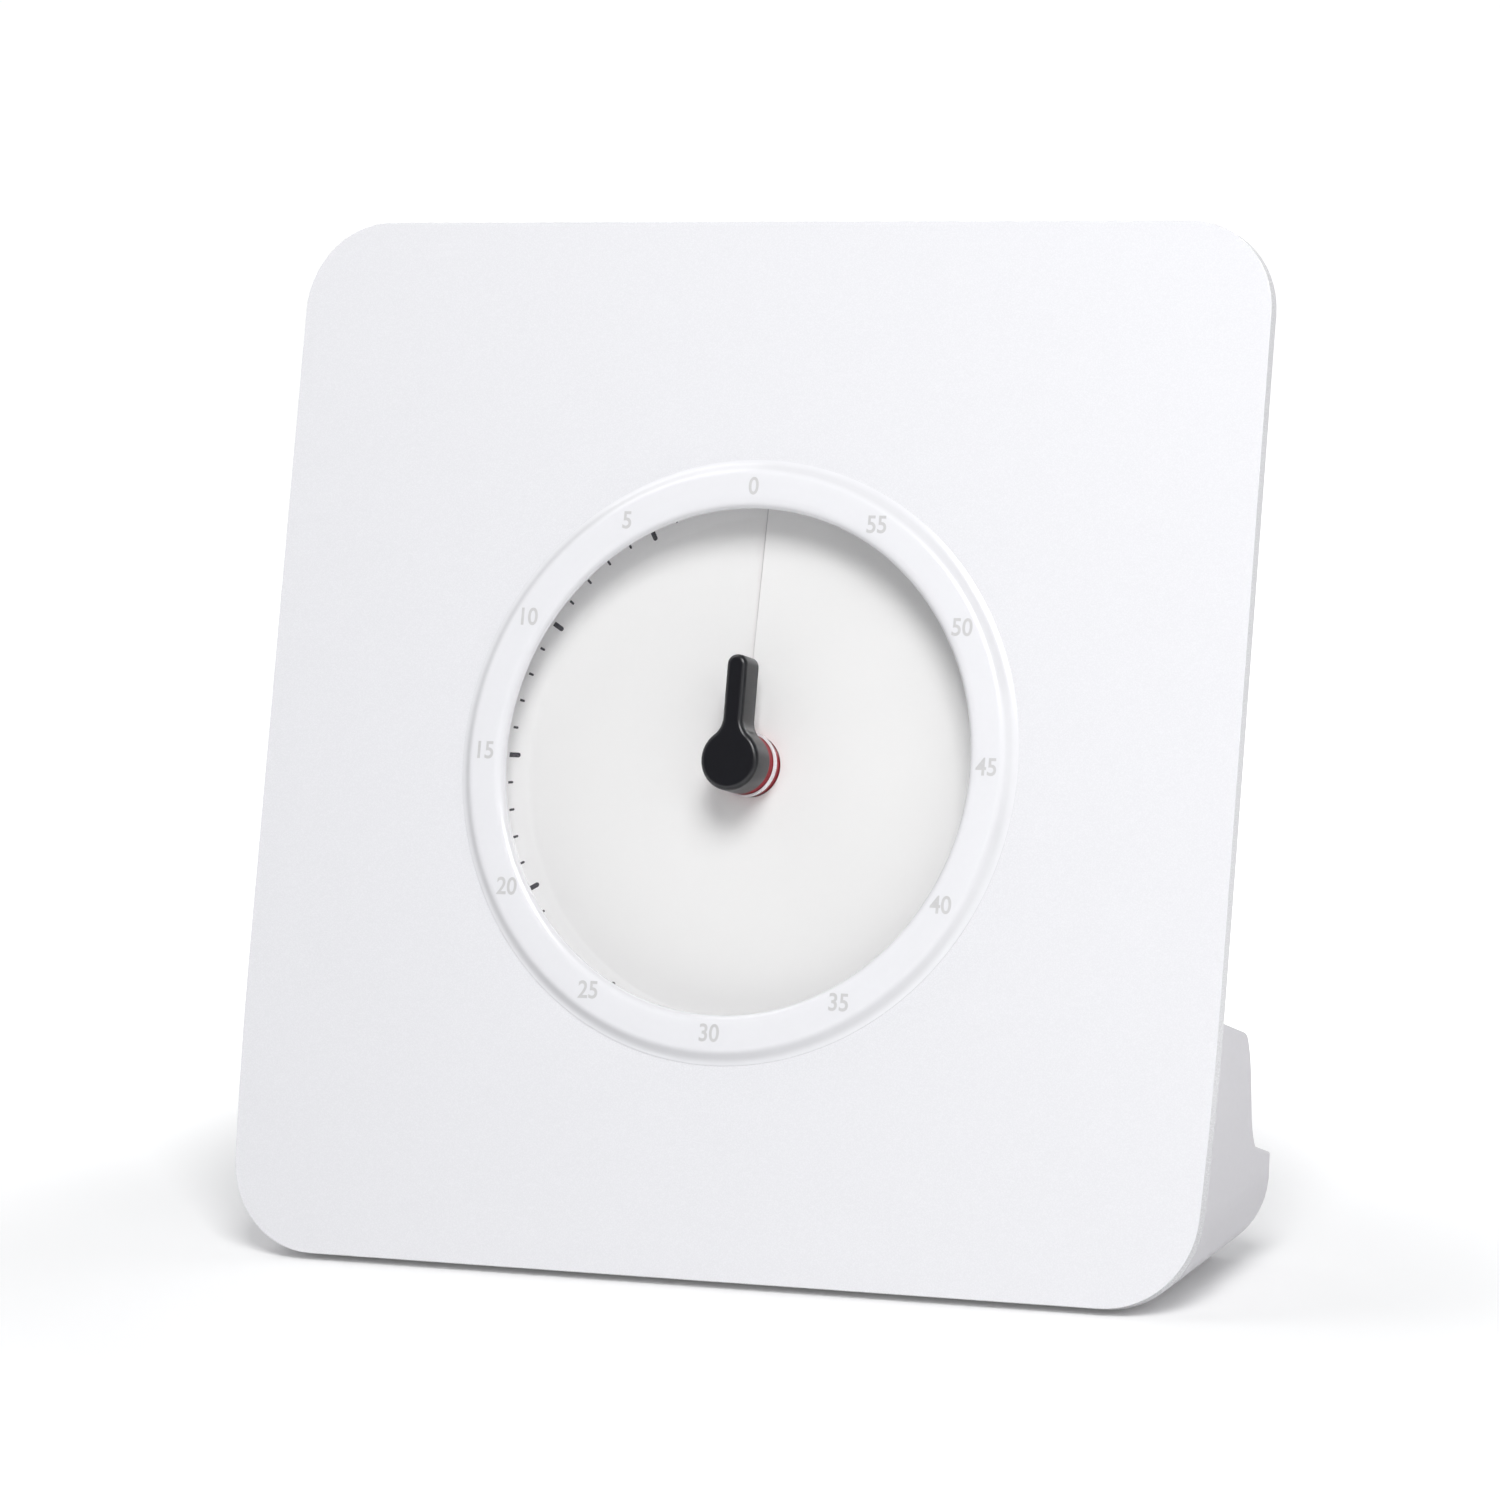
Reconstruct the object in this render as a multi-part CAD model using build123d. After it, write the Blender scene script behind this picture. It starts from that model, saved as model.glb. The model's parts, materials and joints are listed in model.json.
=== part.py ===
from build123d import *
import os
from math import cos, pi, radians, sin, tan

# Visual countdown timer: a square free-standing writing panel with a sixty-minute dial.
#
# The panel and the dial are built round the dial's axis: x to the right, y up the panel, and z
# out of the panel towards the user, with z = 0 on the panel's front face.
# The stand is built upright on the floor, with y = 0 at the panel's bottom front edge.
# At the end everything is leant back and set down with the origin at the bottom centre.
# All lengths are millimetres and all angles are degrees.

# ---------------------------------------------------------------- driving dimensions
# Writing panel
lean_angle = 19.0            # how far the panel leans back from upright
panel_width = 432.0
panel_height = 432.0
panel_thickness = 6.0
panel_skin = 2.2             # front face of the panel moulding
panel_rim = 2.6              # wall round the panel's edge
panel_edge_round = 0.4
panel_back_round = 0.3
top_corner_radius = 37.0
bottom_corner_radius = 39.0
side_draw = 3.8              # how far each side has come in at the bottom edge
side_draw_height = 82.0      # height above the bottom edge where the sides start to come in
side_ease_radius = 1800.0
back_cover_thickness = 1.8
cover_gap = 0.25             # round the back cover, inside the rim
rib_width = 2.0
rib_pitch = 62.0
boss_radius = 4.2            # screw bosses on the back of the panel's skin
boss_bore_depth = 0.8        # how far a pilot hole enters the skin
boss_floor = 0.5             # under a pilot hole in the housing

# Dial bezel, the raised ring with the numerals
dial_drop = 6.0              # dial centre below the middle of the panel
window_radius = 103.3
bezel_radius = 123.6
bezel_height = 4.4
bezel_edge = 0.3             # thickness of the bezel's outer edge
bezel_wall = 2.2
bezel_slope = 7.2            # width of the outer slope
bezel_slope_end = 0.25       # how steeply the slope meets the outer edge
lip_width = 4.6              # width of the rounded lip round the window
lip_base = 1.2               # where the lip's round ends, ahead of the panel's front face
lip_depth = 0.6              # straight edge below the lip's round
lip_land = 2.4
skirt_radius = 115.6
skirt_wall = 2.4
skirt_depth = 14.4
skirt_gap = 0.3              # skirt to the hole in the panel
hook_count = 6
hook_angle = 8.0
hook_reach = 1.7
hook_height = 1.8
seat_gap = 0.05              # between parts that are seated on each other

# Lens
lens_front = 9.3             # lens front behind the panel's front face
lens_thickness = 2.0
lens_gap = 0.25
lens_seat_width = 1.6
lens_seat_thickness = 1.5
retainer_width = 2.2
retainer_height = 1.6
grommet_wall = 0.8
grommet_proud = 0.5

# Dial face and red disc: two interleaved one-turn spiral sheets, slit at twelve o'clock
dial_depth = 16.4            # mean dial face behind the panel's front face
spiral_pitch = 1.4
sheet_thickness = 0.4
dial_edge_gap = 0.6
disc_radius = 101.5
slit_half_angle = 0.12
hub_clearance = 0.45

# Knob, hub and spindle
knob_radius = 12.7
knob_proud = 7.6             # knob front ahead of the panel's front face
knob_thickness = 13.0
knob_reach = 42.9            # dial centre to the pointer's tip
pointer_width = 8.8
pointer_tip_radius = 4.1
knob_blend_radius = 9.0
knob_front_round = 2.2
hub_radius = 12.4
hub_running_gap = 0.3
hub_floor_gap = 0.8          # back of the hub to the dial tray
spindle_radius = 3.0
spindle_seat = 6.4           # spindle's length inside the knob
bearing_gap = 0.1
bush_wall = 2.4

# Dial tray and gear train
tray_front = 19.6            # tray floor's front face behind the panel's front face
tray_floor = 2.0
collar_width = 5.0           # spiral ledge that carries the dial face
collar_thickness = 1.6
collar_root = 1.0
gear_module = 0.8
spindle_teeth = 60
pinion_teeth = 12
idler_teeth = 48
gear_width = 2.0
gear_spacing = 0.7
idler_direction = 0.0
motor_direction = -62.0
tooth_share = 0.37           # tooth thickness as a share of the tooth pitch
tooth_root_share = 0.95      # half width of a tooth at its root and tip, as shares of its
tooth_tip_share = 0.28       # thickness
tooth_depth = 1.15           # root below and tip above the pitch circle, in modules
tooth_rise = 0.85
wheel_hole_count = 5
pin_radius = 1.5
clutch_radius = 8.0
clutch_thickness = 0.4
clip_thickness = 0.8
end_play = 0.3               # along the axis, between a turning part and what keeps it in place
clip_radius = 5.0
gear_cover_wall = 1.6
gear_cover_margin = 8.0
gear_cover_corner = 6.0
gear_cover_boss_radius = 3.7
motor_radius = 14.0
motor_depth = 11.2
motor_ear_reach = 17.5
motor_ear_radius = 3.6
motor_ear_thickness = 1.2
motor_shaft_length = 5.0     # inside the motor
motor_edge_round = 1.0

# Dial housing, the round cover behind the panel
housing_depth = 44.0         # back of the housing behind the panel's front face
housing_wall = 2.5
housing_radius = 121.0
housing_back_round = 7.0
flange_width = 10.0
flange_thickness = 3.0
ledge_width = 7.0
ledge_height = 2.6
flange_screw_count = 6

# Batteries
cell_radius = 7.1
cell_length = 50.0
cell_nub_radius = 2.7
cell_nub_length = 1.2
cell_edge_round = 0.7
cell_spacing = 15.4
spring_length = 6.0
spring_turns = 3
spring_wire_radius = 0.35
contact_margin = 1.0         # contact plate inside the cell's outline
battery_wall = 1.5
battery_drop = 75.0          # middle of the compartment below the dial centre
contact_thickness = 0.4
door_thickness = 1.8
door_gap = 0.4
door_overlap = 1.2           # how far the door covers the compartment's mouth
hinge_pin_radius = 0.7
hinge_pin_length = 2.0
thumb_recess_radius = 9.0
thumb_recess_depth = 0.8

# Electronics
board_width = 84.0
board_height = 40.0
board_thickness = 1.6
board_corner = 2.0
board_clearance = 4.0        # board's back above the housing's back wall
board_rise = 76.0            # middle of the board above the dial centre
sounder_radius = 20.0
sounder_depth = 8.0
basket_share = 0.45          # of the sounder's depth
sounder_across = 70.0
sounder_rise = 18.0
sounder_fence_gap = 0.25     # fence round the sounder, on the housing's back wall
sounder_fence_wall = 1.5
sounder_fence_height = 4.8
basket_wall = 2.0
magnet_radius = 11.0
cone_room = 2.4              # depth of the basket's mouth
cone_thickness = 1.0
grille_slots = 5
grille_reach = 0.85          # slots' ends, as a share of the sounder's rim
grille_pitch = 6.0
grille_slot_width = 2.2
volume_across = -30.0
volume_radius = 9.0
volume_height = 5.0
volume_gap = 0.25            # volume dial to the housing's back
volume_shaft_radius = 3.0
volume_edge_round = 0.8
volume_flats = 12            # flats round the volume dial, to grip it by
volume_corner = 2.0          # round between two flats
volume_mark_width = 1.2
volume_mark_depth = 0.25
pot_size = 12.0
pot_corner = 1.0
pot_floor = 0.6              # volume control above the housing's back wall
pot_cap = 0.8                # end wall of the volume control, above its shaft
chip_rise = 2.0
capacitor_radius = 4.0
capacitor_rise = 9.0
wire_radius = 0.7
wire_spacing = 2.4
wire_lead = 12.0             # straight start of the battery wires
wire_bow = 54.0              # how far the battery wires pass to the left of the dial's axis
socket_width = 8.0
socket_height = 5.0
socket_rise = 5.0

# Stand
stand_wall = 3.0
wing_height = 114.5          # top of the stand up the panel from its bottom edge
wing_drop_angle = 3.0        # wing top and tray rim fall this much more than square to the panel
wing_depth = 71.4            # wing's upright back behind the panel's bottom front edge
wing_round = 6.0
shoulder_draw = 3.0          # the wing's back bends in below its top corner
shoulder_height = 16.0
flare_draw = 3.6             # the wing's back runs out to meet the tray's rim
flare_height = 14.0
tray_end_depth = 92.0        # back of the pen tray at its two ends
tray_middle_depth = 114.0    # back of the pen tray in the middle
ledge_top = 51.7             # tray rim above the floor, at the wing
back_lean = 7.0              # the tray's back leans out towards its rim
trough_floor = 20.0
trough_half_length = 200.0
stand_edge_round = 1.0
notch_gap = 1.5              # stand to the dial housing
well_radius = 5.8
well_bore = 3.7
well_base = 6.0
stand_screw_height = 93.0    # up the panel from its bottom edge
stand_screws_across = (100.0, 180.0)
tongue_width = 16.0          # tongues on the stand that hook into the panel's back cover
tongue_height = 2.4
tongue_reach = 1.4
tongue_rise = 14.0
tongue_gap = 0.3
tongues_across = (60.0, 150.0)
foot_radius = 6.5
foot_height = 1.5            # how far the feet stand proud of the base
foot_recess = 1.4
foot_gap = 0.2
foot_edge_round = 0.6
foot_places = ((150.0, 16.0), (105.0, 94.0))

# Screws
screw_radius = 1.5
screw_head_radius = 2.8
screw_head_height = 1.8
screw_bite = 3.2             # how far a screw goes into what it holds
screw_hole_gap = 0.3
drive_recess_radius = 1.2
drive_recess_depth = 1.0
drive_slot_width = 0.6
screw_head_round = 0.8

# ---------------------------------------------------------------- derived levels and places
lean = radians(lean_angle)
dial_height = panel_height / 2 - dial_drop          # dial centre up the panel from its bottom
panel_top = panel_height / 2 + dial_drop            # panel edges from the dial centre
panel_bottom = -dial_height
panel_back = -panel_thickness
hole_radius = skirt_radius + skirt_gap
skirt_inner = skirt_radius - skirt_wall
lens_top = -lens_front
lens_back = lens_top - lens_thickness
lens_radius = skirt_inner - lens_gap
lens_hole = hub_radius + hub_running_gap + grommet_wall
dial_radius = skirt_inner - dial_edge_gap
dial_low = -dial_depth - spiral_pitch / 2           # front of the dial face where its turn starts
sheet_hole = hub_radius + hub_clearance
collar_top = dial_low - sheet_thickness - seat_gap
tray_top = -tray_front
tray_back = tray_top - tray_floor
knob_back = knob_proud - knob_thickness
hub_back = tray_top + hub_floor_gap
housing_back = -housing_depth
housing_inside = housing_back + housing_wall
housing_inner_radius = housing_radius - housing_wall
flange_back = panel_back - flange_thickness
flange_screw_radius = housing_radius + flange_width / 2

spindle_wheel_radius = gear_module * spindle_teeth / 2
idler_wheel_radius = gear_module * idler_teeth / 2
pinion_radius = gear_module * pinion_teeth / 2
idler_distance = spindle_wheel_radius + pinion_radius
motor_distance = idler_wheel_radius + pinion_radius
idler_x = idler_distance * cos(radians(idler_direction))
idler_y = idler_distance * sin(radians(idler_direction))
motor_x = idler_x + motor_distance * cos(radians(motor_direction))
motor_y = idler_y + motor_distance * sin(radians(motor_direction))
first_gear_top = tray_back - gear_spacing
first_gear_back = first_gear_top - gear_width
second_gear_top = first_gear_back - gear_spacing
second_gear_back = second_gear_top - gear_width
gear_cover_inside = second_gear_back - gear_spacing
gear_cover_back = gear_cover_inside - gear_cover_wall
spindle_end = gear_cover_back - end_play - 2 * clip_thickness

battery_mouth_width = 2 * cell_length + spring_length + 2 * contact_thickness
battery_mouth_height = 2 * cell_spacing
battery_floor = housing_inside + 2 * cell_radius + battery_wall + seat_gap
cell_axis = battery_floor - battery_wall - cell_radius
door_width = battery_mouth_width + 2 * door_overlap
door_height = battery_mouth_height + 2 * door_overlap
door_top_z = housing_back + door_thickness
door_bottom_y = -battery_drop - door_height / 2
hinge_z = housing_back + door_thickness / 2
hinge_y = door_bottom_y + door_thickness / 2

board_back = housing_inside + board_clearance
board_front = board_back + board_thickness
sounder_x = sounder_across
sounder_y = sounder_rise
volume_x = volume_across
volume_y = board_rise

bottom_front_z = foot_height + panel_thickness * sin(lean)   # panel's bottom front edge
tiny = 0.01


# ---------------------------------------------------------------- small builders
def disc(radius, back, front, x=0.0, y=0.0):
    """A round slab between two levels."""
    return Pos(x, y, back) * extrude(Circle(radius), front - back)


def ring(outer, inner, back, front, x=0.0, y=0.0):
    """A flat ring between two levels."""
    return Pos(x, y, back) * extrude(Circle(outer) - Circle(inner), front - back)


def slab(width, height, back, front, x=0.0, y=0.0, corner=0.0):
    """A rectangular slab between two levels, with rounded corners if asked."""
    face = RectangleRounded(width, height, corner) if corner else Rectangle(width, height)
    return Pos(x, y, back) * extrude(face, front - back)


def round_the_circle(count, radius, start=0.0):
    """Points evenly spaced round the dial's axis."""
    angles = [radians(start + 360.0 * i / count) for i in range(count)]
    return [(radius * cos(a), radius * sin(a)) for a in angles]


def screw(x, y, head_back, tip, head_outwards=-1):
    """A pan-head screw along z: head_back is the seat of its head, tip the end of its shank."""
    seat = head_back
    outer = seat + head_outwards * screw_head_height
    head = disc(screw_head_radius, min(seat, outer), max(seat, outer), x, y)
    rim = head.edges().filter_by(GeomType.CIRCLE).sort_by(Axis.Z)
    rim_edge = rim[0] if head_outwards < 0 else rim[-1]
    head = fillet(rim_edge, screw_head_round)
    shank = disc(screw_radius, min(seat, tip), max(seat, tip), x, y)
    recess_end = outer - head_outwards * drive_recess_depth
    slot_low, slot_high = min(outer, recess_end), max(outer, recess_end)
    cross = slab(2 * drive_recess_radius, drive_slot_width, slot_low, slot_high, x, y)
    cross += slab(drive_slot_width, 2 * drive_recess_radius, slot_low, slot_high, x, y)
    return head + shank - cross


def gear(teeth, back, front, bore, x=0.0, y=0.0, phase=0.0):
    """A spur gear with straight-flanked teeth; phase turns its first tooth."""
    pitch_radius = gear_module * teeth / 2
    root = pitch_radius - tooth_depth * gear_module
    tip = pitch_radius + tooth_rise * gear_module
    half = 180.0 / teeth * tooth_share * 2
    corners = (
        (root, -tooth_root_share), (tip, -tooth_tip_share),
        (tip, tooth_tip_share), (root, tooth_root_share),
    )
    outline = []
    for tooth in range(teeth):
        middle = phase + 360.0 * tooth / teeth
        for radius, share in corners:
            angle = radians(middle + half * share)
            outline.append((radius * cos(angle), radius * sin(angle)))
    face = Polygon(*outline, align=None) - Circle(bore)
    return Pos(x, y, back) * extrude(face, front - back)


def spiral_sheet(inner, outer, front_at_start, thickness, gap_angle):
    """One turn of a flat spiral: it starts at twelve o'clock and rises anticlockwise."""
    turn = 360.0 - 2 * gap_angle
    middle = (inner + outer) / 2
    rise = spiral_pitch * turn / 360.0
    path = Edge.make_helix(pitch=spiral_pitch, height=rise, radius=middle)
    start = path @ 0
    section = Plane(origin=start, x_dir=(1, 0, 0), z_dir=path % 0) * Rectangle(
        outer - inner, thickness
    )
    sheet = sweep(section, path=path, is_frenet=True)
    level = front_at_start - thickness / 2 + spiral_pitch * gap_angle / 360.0
    return Pos(0, 0, level) * Rot(0, 0, 90.0 + gap_angle) * sheet


def wire_run(points):
    """A thin insulated wire through points, with each bend as wide as its runs allow."""
    vectors = [Vector(*p) for p in points]
    radii = []
    for before, here, after in zip(vectors, vectors[1:], vectors[2:]):
        half_turn = radians((here - before).get_angle(after - here)) / 2
        shorter = min((here - before).length, (after - here).length)
        radii.append(0.45 * shorter / tan(half_turn))
    path = FilletPolyline(*vectors, radius=radii)
    section = Plane(origin=path @ 0, z_dir=path % 0) * Circle(wire_radius)
    return sweep(section, path=path)


# ---------------------------------------------------------------- the panel
def panel_outline(inset=0.0):
    """The panel's outline round the dial's axis; the sides come in slightly near the bottom."""
    half = panel_width / 2
    foot = half - side_draw
    kink = panel_bottom + side_draw_height
    outline = Polygon(
        (-half, kink), (-foot, panel_bottom), (foot, panel_bottom), (half, kink),
        (half, panel_top), (-half, panel_top), align=None,
    )
    corners = outline.vertices().sort_by(Axis.Y)
    outline = fillet(corners[-2:], top_corner_radius)
    corners = [v for v in outline.vertices() if abs(v.Y - kink) < tiny]
    outline = fillet(corners, side_ease_radius)
    corners = [v for v in outline.vertices() if abs(v.Y - panel_bottom) < tiny]
    outline = fillet(corners, bottom_corner_radius)
    if inset:
        outline = offset(outline, -inset)
    return outline


def stand_screw_places():
    """Stand screws, as places on the panel round the dial's axis."""
    y = panel_bottom + stand_screw_height
    return [(side * x, y) for side in (-1, 1) for x in stand_screws_across]


def tongue_places():
    """Middles of the tongues that hold the foot of the stand against the panel."""
    y = panel_bottom + tongue_rise
    return [(side * x, y) for side in (-1, 1) for x in tongues_across]


def cover_screw_places():
    """Screws that hold the back cover near the panel's edge."""
    x = panel_width / 2 - panel_rim - 2.5 * boss_radius
    top = panel_top - top_corner_radius
    middle = panel_top - panel_height / 2
    return [(side * x, y) for side in (-1, 1) for y in (top, middle)]


def flange_screw_places():
    return round_the_circle(flange_screw_count, flange_screw_radius, start=90.0)


def all_panel_screws():
    return stand_screw_places() + cover_screw_places() + flange_screw_places()


def make_front_panel():
    """The writing surface: a thin skin with a rim, and a screw boss behind each screw."""
    panel = Pos(0, 0, panel_back) * extrude(panel_outline(), panel_thickness)
    panel = fillet(panel.faces().sort_by(Axis.Z)[-1].edges(), panel_edge_round)
    panel = fillet(panel.faces().sort_by(Axis.Z)[0].edges(), panel_back_round)
    pocket_depth = panel_thickness - panel_skin
    panel -= Pos(0, 0, panel_back) * extrude(panel_outline(panel_rim), pocket_depth)
    panel -= disc(hole_radius, panel_back, tiny)
    boss_end = panel_back + back_cover_thickness
    for x, y in all_panel_screws():
        panel += disc(boss_radius, boss_end, -panel_skin, x, y)
    for x, y in all_panel_screws():
        panel -= disc(screw_radius, boss_end, -panel_skin + boss_bore_depth, x, y)
    return panel


def make_back_cover():
    """A flat cover inside the rim, with a grid of ribs that reach the back of the skin."""
    front = panel_back + back_cover_thickness
    outline = panel_outline(panel_rim + cover_gap)
    cover = Pos(0, 0, panel_back) * extrude(outline, back_cover_thickness)
    ribs = Sketch()
    reach = panel_width
    lines = int(panel_width / 2 / rib_pitch)
    for i in range(-lines, lines + 1):
        across = Pos(i * rib_pitch, 0) * Rectangle(rib_width, 2 * reach)
        along = Pos(0, i * rib_pitch) * Rectangle(2 * reach, rib_width)
        ribs += across + along
    ribs &= panel_outline(panel_rim + 2 * rib_width)
    for x, y in all_panel_screws():
        ribs -= Pos(x, y) * Circle(boss_radius + rib_width)
    ribs -= Circle(bezel_radius)
    cover += Pos(0, 0, front) * extrude(ribs, -panel_skin - front)
    cover -= disc(hole_radius, panel_back - tiny, 0)
    for x, y in all_panel_screws():
        cover -= disc(screw_radius + screw_hole_gap, panel_back - tiny, front + tiny, x, y)
    for x, y in tongue_places():
        cover -= slab(
            tongue_width + 2 * tongue_gap, tongue_height + 2 * tongue_gap,
            panel_back - tiny, front + tiny, x, y,
        )
    return cover


def make_cover_screws():
    return [
        screw(x, y, panel_back, panel_back + screw_bite) for x, y in cover_screw_places()
    ]


# ---------------------------------------------------------------- bezel and lens
def make_bezel():
    """The raised ring: rounded lip, flat for the numerals, outer slope, and a skirt behind."""
    slope_top = bezel_radius - bezel_slope
    under = bezel_height - bezel_wall
    lip_back = lip_base - lip_depth
    lip_top = window_radius + lip_width
    lens_shoulder = lens_top + lens_seat_thickness
    seat_inner = skirt_inner - lens_seat_width
    lip = EllipticalCenterArc(
        (lip_top, lip_base), lip_width, bezel_height - lip_base, start_angle=90, arc_size=90
    )
    slope = Spline(
        (slope_top, bezel_height), (bezel_radius, bezel_edge),
        tangents=((1, 0), (1, -bezel_slope_end)),
    )
    rest = Polyline(
        (bezel_radius, bezel_edge), (bezel_radius, 0), (skirt_radius, 0),
        (skirt_radius, -skirt_depth), (skirt_inner, -skirt_depth), (skirt_inner, lens_top),
        (seat_inner, lens_top), (seat_inner, lens_shoulder), (skirt_inner, lens_shoulder),
        (skirt_inner, under), (lip_top, under), (window_radius + lip_land, lip_back),
        (window_radius, lip_back), (window_radius, lip_base),
    )
    top = Line((lip_top, bezel_height), (slope_top, bezel_height))
    bezel = revolve(make_face(Plane.XZ * (Curve() + lip + top + slope + rest)), Axis.Z)
    hook_ring = ring(
        skirt_radius + hook_reach, skirt_radius - tiny,
        panel_back - seat_gap - hook_height, panel_back - seat_gap,
    )
    for i in range(hook_count):
        wedge = Pos(0, 0, panel_back - skirt_depth) * extrude(
            Polygon(
                (0, 0), *round_ends(2 * skirt_radius, 60.0 + 360.0 * i / hook_count, hook_angle),
                align=None,
            ),
            2 * skirt_depth,
        )
        bezel += hook_ring & wedge
    return bezel


def round_ends(radius, middle, spread):
    """The two far corners of a wedge from the dial's axis."""
    angles = (radians(middle - spread / 2), radians(middle + spread / 2))
    return [(radius * cos(a), radius * sin(a)) for a in angles]


def make_lens():
    return ring(lens_radius, lens_hole, lens_back, lens_top)


def make_lens_retainer():
    """A ring pressed into the skirt, which keeps the lens against its seat."""
    back = lens_back - retainer_height
    return ring(lens_radius, lens_radius - retainer_width, back, lens_back)


def make_lens_grommet():
    """The white ring in the lens, which the red hub turns in."""
    bore = hub_radius + hub_running_gap
    return ring(lens_hole, bore, lens_back, lens_top + grommet_proud)


# ---------------------------------------------------------------- dial, disc and knob
def make_dial_face():
    return spiral_sheet(sheet_hole, dial_radius, dial_low, sheet_thickness, slit_half_angle)


def make_red_disc():
    """The red disc at zero: the same spiral, half a pitch behind the dial face."""
    level = dial_low - spiral_pitch / 2
    return spiral_sheet(sheet_hole, disc_radius, level, sheet_thickness, slit_half_angle)


def make_disc_hub():
    return ring(hub_radius, spindle_radius, hub_back, knob_back)


def make_knob():
    """A round grip with a pointer, blended together, with a rounded front edge."""
    pointer_length = knob_reach - pointer_tip_radius
    pointer = Pos(0, knob_reach / 2) * RectangleRounded(
        pointer_width, knob_reach + 2 * pointer_tip_radius, pointer_tip_radius
    )
    pointer = Pos(0, -pointer_tip_radius) * pointer
    pointer &= Pos(0, knob_reach / 2) * Rectangle(2 * knob_radius, knob_reach)
    face = Circle(knob_radius) + pointer
    joins = [
        v for v in face.vertices()
        if 0 < v.Y < pointer_length * 0.7 and abs((v.X ** 2 + v.Y ** 2) ** 0.5 - knob_radius) < 0.1
    ]
    face = fillet(joins, knob_blend_radius)
    knob = Pos(0, 0, knob_back) * extrude(face, knob_thickness)
    knob = fillet(knob.faces().sort_by(Axis.Z)[-1].edges(), knob_front_round)
    return knob - disc(spindle_radius, knob_back, knob_back + spindle_seat)


def make_spindle():
    return disc(spindle_radius, spindle_end, knob_back + spindle_seat)


def make_spindle_bush():
    """The brass bearing in the dial tray."""
    bore = spindle_radius + bearing_gap
    return ring(bore + bush_wall, bore, tray_back, tray_top)


def make_spindle_clip():
    """The clip that keeps the spindle in its two bearings."""
    top = gear_cover_back - end_play
    return ring(clip_radius, spindle_radius, top - clip_thickness, top)


# ---------------------------------------------------------------- dial tray and gear train
def make_dial_tray():
    """The round tray behind the discs, which carries the dial face, gears and motor."""
    tray = disc(skirt_radius, tray_back, tray_top)
    tray += ring(skirt_radius, skirt_inner, tray_back, -skirt_depth)
    tray += spiral_sheet(
        skirt_inner - collar_width, skirt_inner + collar_root, collar_top, collar_thickness,
        slit_half_angle,
    )
    tray -= disc(spindle_radius + bearing_gap + bush_wall, tray_back - 1, tray_top + 1)
    tray -= disc(pin_radius, tray_back - 1, tray_top - tray_floor / 2, idler_x, idler_y)
    for x, y in gear_cover_screw_places():
        tray -= disc(screw_radius, tray_back - 1, tray_top - tray_floor / 3, x, y)
    return tray


def make_spindle_wheel():
    bore = spindle_radius
    wheel = gear(spindle_teeth, first_gear_back, first_gear_top, bore)
    for x, y in round_the_circle(wheel_hole_count, spindle_wheel_radius * 0.62, start=36.0):
        wheel -= disc(spindle_wheel_radius * 0.2, first_gear_back - 1, first_gear_top + 1, x, y)
    return wheel


def make_clutch_spring():
    """The friction washer that lets the knob be set against the stopped motor."""
    top = first_gear_back - seat_gap
    return ring(clutch_radius, spindle_radius, top - clutch_thickness, top)


def make_idler_wheel():
    """Large wheel and pinion in one moulding, turning on the idler pin."""
    bore = pin_radius + bearing_gap
    slot = 180.0 / pinion_teeth
    pinion = gear(
        pinion_teeth, second_gear_top - tiny, first_gear_top, bore, idler_x, idler_y,
        phase=idler_direction + 180.0 + slot,
    )
    wheel = gear(
        idler_teeth, second_gear_back, second_gear_top, bore, idler_x, idler_y,
        phase=motor_direction,
    )
    return pinion + wheel


def make_idler_pin():
    return disc(
        pin_radius, gear_cover_inside - gear_cover_wall / 2, tray_top - tray_floor / 2,
        idler_x, idler_y,
    )


def make_motor_pinion():
    """The geared motor's output pinion and its shaft."""
    slot = 180.0 / pinion_teeth
    pinion = gear(
        pinion_teeth, second_gear_back, second_gear_top, pin_radius - tiny, motor_x, motor_y,
        phase=motor_direction + 180.0 + slot,
    )
    shaft_end = gear_cover_back - motor_shaft_length
    shaft = disc(pin_radius, shaft_end, second_gear_top, motor_x, motor_y)
    return pinion + shaft


def make_motor():
    """The sealed geared motor, with two screw ears."""
    back = gear_cover_back - motor_depth
    can = disc(motor_radius, back, gear_cover_back, motor_x, motor_y)
    can = fillet(can.edges().filter_by(GeomType.CIRCLE).sort_by(Axis.Z)[0], motor_edge_round)
    for x, y in motor_screw_places():
        ear_back = gear_cover_back - motor_ear_thickness
        ear = disc(motor_ear_radius, ear_back, gear_cover_back, x, y)
        arm = slab(
            motor_ear_reach, 1.6 * motor_ear_radius, ear_back, gear_cover_back,
            (x + motor_x) / 2, y,
        )
        can += ear + arm
    for x, y in motor_screw_places():
        can -= disc(screw_radius + screw_hole_gap, back, gear_cover_back + 1, x, y)
    return can - disc(
        pin_radius + bearing_gap, gear_cover_back - motor_shaft_length - end_play,
        gear_cover_back + 1, motor_x, motor_y,
    )


def motor_screw_places():
    return [(motor_x + side * motor_ear_reach, motor_y) for side in (-1, 1)]


def gear_cover_frame():
    """Middle and size of the gear cover, which reaches round both wheels and the motor."""
    reach = gear_module * 2 + gear_cover_margin
    left = -spindle_wheel_radius - reach
    right = motor_x + motor_ear_reach + motor_ear_radius + gear_cover_margin
    top = spindle_wheel_radius + reach
    bottom = min(motor_y - pinion_radius, -spindle_wheel_radius) - reach
    return (left + right) / 2, (bottom + top) / 2, right - left, top - bottom


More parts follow.
